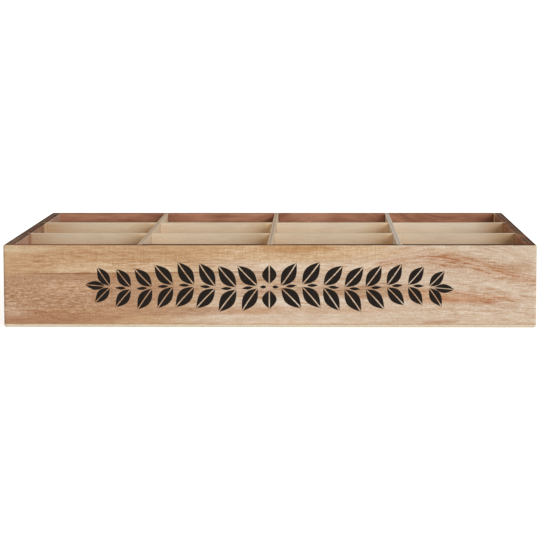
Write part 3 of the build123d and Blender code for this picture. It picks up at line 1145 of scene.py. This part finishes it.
def thicken(tree, sheet, thickness, direction):
    """A flat sheet of faces as a closed plate, its thickness shared out to both sides."""
    top = put(tree, "GeometryNodeExtrudeMesh", {
        "Mesh": sheet, "Offset": direction, "Offset Scale": thickness, "Individual": False})
    under = put(tree, "GeometryNodeFlipFaces", {"Mesh": sheet})
    plate = put(tree, "GeometryNodeJoinGeometry", {"Geometry": [top, under]})
    plate = put(tree, "GeometryNodeMergeByDistance", {"Geometry": plate, "Distance": 0.001})
    half = put(tree, "ShaderNodeMath", {0: thickness, 1: -0.5}, operation="MULTIPLY")
    back = put(tree, "ShaderNodeVectorMath", {0: direction, "Scale": half}, operation="SCALE")
    return put(tree, "GeometryNodeTransform", {"Geometry": plate, "Translation": back})


def lay_row(tree, given, fastener, spacing):
    """Copies of a fastener in a row about the middle, moved out to its edge, turned to its side of
    the box, and made real in metres."""
    steps = put(tree, "ShaderNodeMath", {0: given["Count"], 1: 1.0}, operation="SUBTRACT")
    half = put(tree, "ShaderNodeMath", {0: steps, 1: -0.5}, operation="MULTIPLY")
    start = put(tree, "ShaderNodeVectorMath", {0: spacing, "Scale": half}, operation="SCALE")
    line = put(tree, "GeometryNodeMeshLine", {
        "Count": given["Count"], "Start Location": start, "Offset": spacing})
    row = put(tree, "GeometryNodeInstanceOnPoints", {"Points": line, "Instance": fastener})
    row = put(tree, "GeometryNodeTransform", {"Geometry": row, "Translation": given["Place"]})
    turn = put(tree, "ShaderNodeCombineXYZ", {"Z": given["Turn"]})
    row = put(tree, "GeometryNodeTransform", {
        "Geometry": row, "Rotation": turn, "Scale": (MM, MM, MM)})
    row = put(tree, "GeometryNodeRealizeInstances", {"Geometry": row})
    row = put(tree, "GeometryNodeSetMaterial", {"Geometry": row, "Material": given["Steel"]})
    put(tree, "NodeGroupOutput", {"Geometry": row})


# %% [markdown]
# ## Steel
# Staples and brads are drawn wire, flattened and coated. Staples for wood have a thin coat of zinc:
# a soft grey with cloudy lighter patches, and lines along the wire from the drawing die, about
# 0.1 mm apart. Brads are the same wire with a clear brown lacquer, which glues the strip together
# in the nail gun. Both start from the typical metal: metallic 1, a roughness of about 0.4.

# %% Steel wire
def drawn_wire(name, dull, bright, roughness):
    """Drawn and coated steel wire: satin, cloudy, with fine lines."""
    material, tree = start_material(name)
    place = put(tree, "ShaderNodeTexCoord", out="Object")
    place = put(tree, "ShaderNodeMapping", {"Vector": place, "Scale": (1 / MM, 1 / MM, 1 / MM)})
    clouds = streaks(tree, place, (1.6, 1.6, 2.4))
    shade = put(tree, "ShaderNodeMapRange", {"Value": clouds, "From Min": 0.35, "From Max": 0.65})
    tone = cover(tree, colour(dull), colour(bright), shade)
    lines = streaks(tree, place, (0.12, 0.12, 6.0), detail=2.0)
    uneven = 0.12
    worn = put(tree, "ShaderNodeMapRange", {
        "Value": clouds, "To Min": roughness - uneven, "To Max": roughness + uneven})
    relief = put(tree, "ShaderNodeBump", {
        "Strength": 0.3, "Distance": 0.02 * MM, "Height": lines}, out="Normal")
    finish = put(tree, "ShaderNodeBsdfPrincipled", {
        "Base Color": tone, "Metallic": 1.0, "Roughness": worn, "Normal": relief})
    put(tree, "ShaderNodeOutputMaterial", {"Surface": finish})
    return material


zinc_wire = drawn_wire("drawn steel wire, zinc coated", "8d9092", "b4b7b8", 0.42)
lacquered_wire = drawn_wire("drawn steel wire, lacquered", "6f6660", "948a80", 0.38)
print("Wires:", zinc_wire.name, "and", lacquered_wire.name)

# %% [markdown]
# ## Staples under the base
# A staple is one wire bent twice, so it is a path with a profile swept along it. The path is a line
# of four points: leg, corner, corner, leg. Its corners are rounded, and the profile is a flat
# rectangle with eased edges.

# %% Staple tree
POINTS = 4
BEND_STEPS = 5
WIRE_EASING = 0.22
WIRE_EASING_STEPS = 2
staple_sizes = {
    "Crown": 5.8,
    "Leg": 14.0,
    "Wire width": 1.2,
    "Wire thickness": 0.9,
    "Bend": 0.8,
    "Point": 1.5,
    "Count": 4,
    "Pitch": 110.0,
    "Place": (0.0, 165.5, 0.4),
    "Turn": 0.0,
    "Steel": zinc_wire,
}
staple_tree, given = start_tree("row of staples", staple_sizes)
tree = staple_tree
index = put(tree, "GeometryNodeInputIndex")
to_right = put(tree, "ShaderNodeMath", {0: index, 1: 1.5}, operation="GREATER_THAN")
to_right = put(tree, "ShaderNodeMath", {0: to_right, 1: 0.5}, operation="SUBTRACT")
span = put(tree, "ShaderNodeMath", {0: given["Crown"], 1: given["Wire width"]},
           operation="SUBTRACT")
across = put(tree, "ShaderNodeMath", {0: to_right, 1: span}, operation="MULTIPLY")
from_middle = put(tree, "ShaderNodeMath", {0: index, 1: 1.5}, operation="SUBTRACT")
from_middle = put(tree, "ShaderNodeMath", {0: from_middle}, operation="ABSOLUTE")
is_tip = put(tree, "ShaderNodeMath", {0: from_middle, 1: 1.0}, operation="GREATER_THAN")
crown_up = put(tree, "ShaderNodeMath", {0: given["Wire width"], 1: 0.5}, operation="MULTIPLY")
up = put(tree, "ShaderNodeMapRange", {
    "Value": is_tip, "To Min": crown_up, "To Max": given["Leg"]})
corner = put(tree, "ShaderNodeCombineXYZ", {"X": across, "Z": up})
path = put(tree, "GeometryNodeMeshLine", {"Count": POINTS, "Offset": (1.0, 0.0, 0.0)})
path = put(tree, "GeometryNodeSetPosition", {"Geometry": path, "Position": corner})
path = put(tree, "GeometryNodeMeshToCurve", {"Mesh": path})
path = put(tree, "GeometryNodeFilletCurve", {
    "Curve": path, "Radius": given["Bend"], "Count": BEND_STEPS}, mode="POLY")
section = put(tree, "GeometryNodeCurvePrimitiveQuadrilateral", {
    "Width": given["Wire width"], "Height": given["Wire thickness"]})
section = put(tree, "GeometryNodeFilletCurve", {
    "Curve": section, "Radius": WIRE_EASING, "Count": WIRE_EASING_STEPS}, mode="POLY")
staple = put(tree, "GeometryNodeCurveToMesh", {
    "Curve": path, "Profile Curve": section, "Fill Caps": True})
print("One staple takes", len(tree.nodes), "nodes")

# %% [markdown]
# ### The staple's points
# The cutter leaves each leg's outer side shorter, so the points draw the legs together as they go
# in. The vertices at a leg's end are lowered by how far out they lie.

# %% Staple points
NEARLY_AT_END = 0.01
position = put(tree, "GeometryNodeInputPosition")
along, _, up = put(tree, "ShaderNodeSeparateXYZ", {0: position}).node.outputs
nearly = put(tree, "ShaderNodeMath", {0: given["Leg"], 1: NEARLY_AT_END}, operation="SUBTRACT")
is_end = put(tree, "FunctionNodeCompare", {0: up, 1: nearly}, operation="GREATER_THAN")
inner = put(tree, "ShaderNodeMath", {0: span, 1: given["Wire width"]}, operation="SUBTRACT")
inner = put(tree, "ShaderNodeMath", {0: inner, 1: 0.5}, operation="MULTIPLY")
outwards = put(tree, "ShaderNodeMath", {0: along}, operation="ABSOLUTE")
outwards = put(tree, "ShaderNodeMath", {0: outwards, 1: inner}, operation="SUBTRACT")
outwards = put(tree, "ShaderNodeMath", {0: outwards, 1: given["Wire width"]}, operation="DIVIDE")
shorter = put(tree, "ShaderNodeMath", {0: outwards, 1: given["Point"]}, operation="MULTIPLY")
shorter = put(tree, "ShaderNodeMath", {0: shorter, 1: -1.0}, operation="MULTIPLY")
slant = put(tree, "ShaderNodeCombineXYZ", {"Z": shorter})
staple = put(tree, "GeometryNodeSetPosition", {
    "Geometry": staple, "Selection": is_end, "Offset": slant})
spacing = put(tree, "ShaderNodeCombineXYZ", {"X": given["Pitch"]})
lay_row(tree, given, staple, spacing)
print("A row of staples takes", len(tree.nodes), "nodes")

# %% Staples
# Four along each long edge and three along each short one, in the middle of the board's thickness.
staple_in = wall / 2
staple_rows = {
    "back": (4, half_depth - staple_in, 0.0),
    "front": (4, half_depth - staple_in, math.pi),
    "left": (3, half_width - staple_in, math.pi / 2),
    "right": (3, half_width - staple_in, -math.pi / 2),
}
for edge, (count, distance, turn) in staple_rows.items():
    staples = run_tree("staples_" + edge, staple_tree, {
        "Count": count, "Place": (0.0, distance, staple_sizes["Place"][2]), "Turn": turn})
    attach(staples, "box")
    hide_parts("base_staples_" + edge)

# %% [markdown]
# ## Brads at the corners
# A brad is cut from flat wire, and its head is pressed wider in one direction only. Its side view is
# an outline of a few points, drawn once, and the tree gives it the wire's thickness. Three stand
# above each other in every corner, driven through the side board into the end of the front or back
# board. The gun sets the head a little below the surface.

# %% Brad tree
brad_length = 25.0
brad_half = 0.625
head_half = 1.1
head_deep = 0.7
head_taper = 0.25
brad_point = 2.0
tip_half = 0.08
brad_upper = [
    (0.0, head_half),
    (head_deep - head_taper, head_half),
    (head_deep, brad_half),
    (brad_length - brad_point, brad_half),
    (brad_length, tip_half),
]
brad_lower = [(x, -z) for x, z in reversed(brad_upper)]
outline_points = [(x, 0.0, z) for x, z in brad_upper + brad_lower]
outline_mesh = bpy.data.meshes.new("brad outline")
outline_mesh.from_pydata(outline_points, [], [range(len(outline_points))])
brad_outline = bpy.data.objects.new("brad_outline", outline_mesh)

brad_sizes = {
    "Outline": brad_outline,
    "Thickness": 1.0,
    "Count": 3,
    "Pitch": 21.0,
    "Place": (0.0, 0.0, 0.0),
    "Turn": 0.0,
    "Steel": lacquered_wire,
}
brad_tree, given = start_tree("row of brads", brad_sizes)
tree = brad_tree
outline = put(tree, "GeometryNodeObjectInfo", {"Object": given["Outline"]}, out="Geometry")
faces_y = Vector(outline_mesh.polygons[0].normal)
brad = thicken(tree, outline, given["Thickness"], tuple(faces_y))
spacing = put(tree, "ShaderNodeCombineXYZ", {"Z": given["Pitch"]})
lay_row(tree, given, brad, spacing)
print("A row of brads takes", len(tree.nodes), "nodes")

# %% Brads
# The row is laid for the left side, and the right side's is turned by half a turn.
brad_set = 0.8
lip = 4.0
brad_across = half_depth - (lip + wall) / 2
base_thickness = 3.0
brads_middle = (rim_height + base_thickness) / 2
for end_name, end in {"front": -1, "back": 1}.items():
    for side_name, side in {"left": -1, "right": 1}.items():
        turn = 0.0 if side_name == "left" else math.pi
        place = (-half_width + brad_set, -side * end * brad_across, brads_middle)
        brads = run_tree("brads_" + end_name + "_" + side_name, brad_tree, {
            "Place": place, "Turn": turn})
        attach(brads, "box")
        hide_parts(end_name + "_" + side_name + "_brads")
bpy.data.objects.remove(brad_outline)

# %% [markdown]
# ## The stencilled sprig
# The front carries a row of leaves in black paint, dabbed through a card stencil. Stencil shapes
# can't hang free in the card, so thin bridges part every leaf along its vein and cut the stem into
# short pieces. One leaf is a grid whose edge follows a sine, widest before the middle. A stem
# piece is the same shape, long and thin and without a vein.
#
# Paint on wood is about a twentieth of a millimetre thick. Its plate is sunk in the board by as
# much again, so that no light shows behind it.

# %% Leaf tree
LEAF_COLUMNS = 19
WIDEST_EARLY = 0.92
VEIN_AT_MOST = 0.7
WELD = 0.001
leaf_sizes = {
    "Length": 25.0,
    "Width": 10.0,
    "Vein": 1.1,
    "Curl": 1.5,
    "Film": 0.1,
}
leaf_tree, given = start_tree("stencil leaf", leaf_sizes)
tree = leaf_tree
grid = put(tree, "GeometryNodeMeshGrid", {
    "Size X": 1.0, "Size Y": 1.0, "Vertices X": LEAF_COLUMNS, "Vertices Y": 2})
position = put(tree, "GeometryNodeInputPosition")
position = put(tree, "ShaderNodeVectorMath", {0: position, 1: (0.5, 0.5, 0.0)}, operation="ADD")
share, side, _ = put(tree, "ShaderNodeSeparateXYZ", {0: position}).node.outputs
swell = put(tree, "ShaderNodeMath", {0: share, 1: WIDEST_EARLY}, operation="POWER")
swell = put(tree, "ShaderNodeMath", {0: swell, 1: math.pi}, operation="MULTIPLY")
swell = put(tree, "ShaderNodeMath", {0: swell}, operation="SINE")
swell = put(tree, "ShaderNodeMath", {0: swell, 1: 0.0}, operation="MAXIMUM")
edge = put(tree, "ShaderNodeMath", {0: swell, 1: given["Width"]}, operation="MULTIPLY")
edge = put(tree, "ShaderNodeMath", {0: edge, 1: 0.5}, operation="MULTIPLY")
vein = put(tree, "ShaderNodeMath", {0: given["Vein"], 1: 0.5}, operation="MULTIPLY")
most = put(tree, "ShaderNodeMath", {0: edge, 1: VEIN_AT_MOST}, operation="MULTIPLY")
vein = put(tree, "ShaderNodeMath", {0: vein, 1: most}, operation="MINIMUM")
out = put(tree, "ShaderNodeMapRange", {"Value": side, "To Min": vein, "To Max": edge})
along = put(tree, "ShaderNodeMath", {0: share, 1: given["Length"]}, operation="MULTIPLY")
curl = put(tree, "ShaderNodeMath", {0: share, 1: share}, operation="MULTIPLY")
curl = put(tree, "ShaderNodeMath", {0: curl, 1: given["Curl"]}, operation="MULTIPLY")
upper = put(tree, "ShaderNodeMath", {0: curl, 1: out}, operation="ADD")
lower = put(tree, "ShaderNodeMath", {0: curl, 1: out}, operation="SUBTRACT")
upper = put(tree, "ShaderNodeCombineXYZ", {"X": along, "Y": upper})
lower = put(tree, "ShaderNodeCombineXYZ", {"X": along, "Y": lower})
upper = put(tree, "GeometryNodeSetPosition", {"Geometry": grid, "Position": upper})
lower = put(tree, "GeometryNodeSetPosition", {"Geometry": grid, "Position": lower})
lower = put(tree, "GeometryNodeFlipFaces", {"Mesh": lower})
leaf = put(tree, "GeometryNodeJoinGeometry", {"Geometry": [upper, lower]})
leaf = put(tree, "GeometryNodeMergeByDistance", {"Geometry": leaf, "Distance": WELD})
leaf = thicken(tree, leaf, given["Film"], (0.0, 0.0, 1.0))
put(tree, "NodeGroupOutput", {"Geometry": leaf})
print("A leaf takes", len(tree.nodes), "nodes")

# %% [markdown]
# ### Stencil paint
# The paint is matt black and dabbed on with a brush. The wood's fibres show through it as faint
# lines, and it is a little greyer where the brush left less. Its roughness is that of chalk paint,
# about 0.75.

# %% Stencil paint
stencil_paint, tree = start_material("matt black stencil paint, dabbed")
place = board_place(tree, 0.0, half_depth)
fibres = streaks(tree, place, (9, 1.0, 0.8), detail=2.0)
dabs = streaks(tree, place, (7, 7, 5), detail=4.0)
thin = put(tree, "ShaderNodeMapRange", {"Value": dabs, "From Min": 0.35, "From Max": 0.7})
black = cover(tree, colour("1f1814"), colour("28211c"), thin)
black = vary(tree, black, fibres, 0.16)
relief = put(tree, "ShaderNodeBump", {
    "Strength": 0.3, "Distance": 0.1 * MM, "Height": fibres}, out="Normal")
chalky = put(tree, "ShaderNodeMapRange", {"Value": dabs, "To Min": 0.66, "To Max": 0.84})
finish = put(tree, "ShaderNodeBsdfPrincipled", {
    "Base Color": black, "Roughness": chalky, "Specular IOR Level": 0.12, "Normal": relief})
put(tree, "ShaderNodeOutputMaterial", {"Surface": finish})
print(stencil_paint.name, "has", len(tree.nodes), "nodes")

# %% [markdown]
# ### The sprig's line
# Pairs of leaves sit along a gently waving line that runs out from the middle. The line is a
# resampled curve, and a sine along its length lifts and lowers its points.

# %% Sprig line
LINE_POINTS = 48
sprig_sizes = {
    "Start": 9.0,
    "End": 134.0,
    "Wave": 1.2,
    "Waves": 1.5,
    "Pairs": 8,
    "Leaf": 23.5,
    "Leaf width": 12.2,
    "Vein": 1.0,
    "Lean": 0.82,
    "Bridge": 1.6,
    "Stem": 9.5,
    "Stem width": 2.6,
    "Middle leaf": 16.0,
    "Film": 0.1,
    "Seed": 4,
    "Place": (0.0, -170.0, 34.5),
    "Paint": stencil_paint,
}
sprig_tree, given = start_tree("stencilled sprig", sprig_sizes)
tree = sprig_tree
line_start = put(tree, "ShaderNodeCombineXYZ", {"X": given["Start"]})
line_end = put(tree, "ShaderNodeCombineXYZ", {"X": given["End"]})
line = put(tree, "GeometryNodeCurvePrimitiveLine", {"Start": line_start, "End": line_end})
line = put(tree, "GeometryNodeResampleCurve", {"Curve": line, "Count": LINE_POINTS})
share = put(tree, "GeometryNodeSplineParameter", out="Factor")
wave = put(tree, "ShaderNodeMath", {0: share, 1: given["Waves"]}, operation="MULTIPLY")
wave = put(tree, "ShaderNodeMath", {0: wave, 1: 2 * math.pi}, operation="MULTIPLY")
wave = put(tree, "ShaderNodeMath", {0: wave}, operation="SINE")
wave = put(tree, "ShaderNodeMath", {0: wave, 1: given["Wave"]}, operation="MULTIPLY")
wave = put(tree, "ShaderNodeCombineXYZ", {"Y": wave})
line = put(tree, "GeometryNodeSetPosition", {"Geometry": line, "Offset": wave})
print("The line takes", len(tree.nodes), "nodes")

# %% [markdown]
# ### Pairs of leaves
# The curve gives points for the pairs and the way that it runs at each. The upper leaves lean one
# way and curl that way, and the lower ones the other. They grow smaller towards the tip, and each
# has its own small change of size, from a fixed seed.

# %% Pairs of leaves
TIP_SIZE = 0.78
TAPER_POWER = 3.0
SMALLEST, LARGEST = 0.95, 1.02
spots = put(tree, "GeometryNodeCurveToPoints", {
    "Curve": line, "Count": given["Pairs"]}).node.outputs
heading = put(tree, "FunctionNodeAlignRotationToVector", {"Vector": spots["Tangent"]}, axis="X")
number = put(tree, "GeometryNodeInputIndex")
last = put(tree, "ShaderNodeMath", {0: given["Pairs"], 1: 1.0}, operation="SUBTRACT")
outer = put(tree, "ShaderNodeMath", {0: number, 1: last}, operation="DIVIDE")
outer = put(tree, "ShaderNodeMath", {0: outer, 1: TAPER_POWER}, operation="POWER")
taper = put(tree, "ShaderNodeMapRange", {"Value": outer, "To Min": 1.0, "To Max": TIP_SIZE})
branch = []
for way in (1.0, -1.0):
    leaf = put(tree, "GeometryNodeGroup", {
        "Length": given["Leaf"], "Width": given["Leaf width"], "Vein": given["Vein"],
        "Curl": leaf_sizes["Curl"] * way, "Film": given["Film"]}, node_tree=leaf_tree)
    off_stem = put(tree, "ShaderNodeCombineXYZ", {"X": given["Bridge"]})
    leaf = put(tree, "GeometryNodeTransform", {"Geometry": leaf, "Translation": off_stem})
    lean = put(tree, "ShaderNodeMath", {0: given["Lean"], 1: way}, operation="MULTIPLY")
    lean = put(tree, "ShaderNodeCombineXYZ", {"Z": lean})
    turned = put(tree, "FunctionNodeRotateRotation", {"Rotation": heading, "Rotate By": lean},
                 rotation_space="LOCAL")
    seed = put(tree, "ShaderNodeMath", {0: given["Seed"], 1: way}, operation="ADD")
    grown = put(tree, "FunctionNodeRandomValue", {2: SMALLEST, 3: LARGEST, "Seed": seed}, out=1)
    grown = put(tree, "ShaderNodeMath", {0: grown, 1: taper}, operation="MULTIPLY")
    branch.append(put(tree, "GeometryNodeInstanceOnPoints", {
        "Points": spots["Points"], "Instance": leaf, "Rotation": turned, "Scale": grown}))
print("The sprig has", sprig_sizes["Pairs"], "pairs of leaves on each side")

# %% [markdown]
# ### Stem and last leaf
# A piece of stem runs from just beyond one pair to just before the next, so there is one fewer
# than there are pairs. The last leaf goes on where the line ends, smaller than the rest, and a
# first short piece starts from the middle. Distances along the stem are counted in bridges.

# %% Stem and last leaf
STEM_AFTER_BRIDGES = 3.0
LAST_AFTER_BRIDGES = 4.4
LAST_LEAF_SIZE = (0.72, 0.62, 1.0)
FIRST_STEM_SHARE = 0.6
FIRST_STEM_FROM = 2.4
stem = put(tree, "GeometryNodeGroup", {
    "Length": given["Stem"], "Width": given["Stem width"], "Vein": 0.0, "Curl": 0.0,
    "Film": given["Film"]}, node_tree=leaf_tree)
beyond = put(tree, "ShaderNodeMath", {0: given["Bridge"], 1: STEM_AFTER_BRIDGES},
             operation="MULTIPLY")
beyond = put(tree, "ShaderNodeCombineXYZ", {"X": beyond})
stem = put(tree, "GeometryNodeTransform", {"Geometry": stem, "Translation": beyond})
before_last = put(tree, "ShaderNodeMath", {0: number, 1: last}, operation="LESS_THAN")
branch.append(put(tree, "GeometryNodeInstanceOnPoints", {
    "Points": spots["Points"], "Selection": before_last, "Instance": stem, "Rotation": heading}))
end_leaf = put(tree, "GeometryNodeGroup", {
    "Length": given["Leaf"], "Width": given["Leaf width"], "Vein": given["Vein"],
    "Curl": 0.0, "Film": given["Film"]}, node_tree=leaf_tree)
past_pair = put(tree, "ShaderNodeMath", {0: given["Bridge"], 1: LAST_AFTER_BRIDGES},
                operation="MULTIPLY")
past_pair = put(tree, "ShaderNodeCombineXYZ", {"X": past_pair})
end_leaf = put(tree, "GeometryNodeTransform", {"Geometry": end_leaf, "Translation": past_pair})
is_end = put(tree, "GeometryNodeCurveEndpointSelection", {"Start Size": 0, "End Size": 1})
line_heading = put(tree, "GeometryNodeInputTangent")
line_heading = put(tree, "FunctionNodeAlignRotationToVector", {"Vector": line_heading}, axis="X")
branch.append(put(tree, "GeometryNodeInstanceOnPoints", {
    "Points": line, "Selection": is_end, "Instance": end_leaf, "Rotation": line_heading,
    "Scale": LAST_LEAF_SIZE}))
first_length = put(tree, "ShaderNodeMath", {0: given["Stem"], 1: FIRST_STEM_SHARE},
                   operation="MULTIPLY")
first_stem = put(tree, "GeometryNodeGroup", {
    "Length": first_length, "Width": given["Stem width"], "Vein": 0.0, "Curl": 0.0,
    "Film": given["Film"]}, node_tree=leaf_tree)
branch.append(put(tree, "GeometryNodeTransform", {
    "Geometry": first_stem, "Translation": (FIRST_STEM_FROM, 0.0, 0.0)}))
print("A branch is joined from", len(branch), "parts")

# %% [markdown]
# ### Both branches and the middle
# Half a turn about the middle makes the left branch from the right one, and two more leaves stand
# between them, one up and one down. The whole sprig is then stood up against the front board.

# %% Sprig tree
MIDDLE_LEAF_FROM = 2.8
right = put(tree, "GeometryNodeJoinGeometry", {"Geometry": branch})
left = put(tree, "GeometryNodeTransform", {"Geometry": right, "Rotation": (0.0, 0.0, math.pi)})
sprig = [left, right]
for turn in (math.pi / 2, -math.pi / 2):
    leaf = put(tree, "GeometryNodeGroup", {
        "Length": given["Middle leaf"], "Width": given["Leaf width"], "Vein": given["Vein"],
        "Curl": 0.0, "Film": given["Film"]}, node_tree=leaf_tree)
    leaf = put(tree, "GeometryNodeTransform", {
        "Geometry": leaf, "Translation": (MIDDLE_LEAF_FROM, 0.0, 0.0)})
    sprig.append(put(tree, "GeometryNodeTransform", {
        "Geometry": leaf, "Rotation": (0.0, 0.0, turn)}))
sprig = put(tree, "GeometryNodeJoinGeometry", {"Geometry": sprig})
sprig = put(tree, "GeometryNodeTransform", {
    "Geometry": sprig, "Translation": given["Place"], "Rotation": (math.pi / 2, 0.0, 0.0)})
sprig = put(tree, "GeometryNodeTransform", {"Geometry": sprig, "Scale": (MM, MM, MM)})
sprig = put(tree, "GeometryNodeRealizeInstances", {"Geometry": sprig})
sprig = put(tree, "GeometryNodeSetMaterial", {"Geometry": sprig, "Material": given["Paint"]})
put(tree, "NodeGroupOutput", {"Geometry": sprig})
print("The sprig takes", len(tree.nodes), "nodes")

# %% Sprig
painted_sprig = run_tree("stencilled_sprig", sprig_tree, {})
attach(painted_sprig, "box")
sprig_low = [min(v.co[i] for v in painted_sprig.data.vertices) / MM for i in range(3)]
sprig_high = [max(v.co[i] for v in painted_sprig.data.vertices) / MM for i in range(3)]
print("The sprig reaches from", [round(c, 1) for c in sprig_low], "to",
      [round(c, 1) for c in sprig_high])

# %% [markdown]
# ## Finish
# The box's size is measured again with everything on it and kept beside its size from the model.
# The paint stands a little proud of the front, and nothing else should reach further than the
# model does.

# %% Finish
look_low, look_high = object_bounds()
dressed = [(high - low) / MM for low, high in zip(look_low, look_high)]
print("The dressed box measures", [round(length, 2) for length in dressed], "mm")
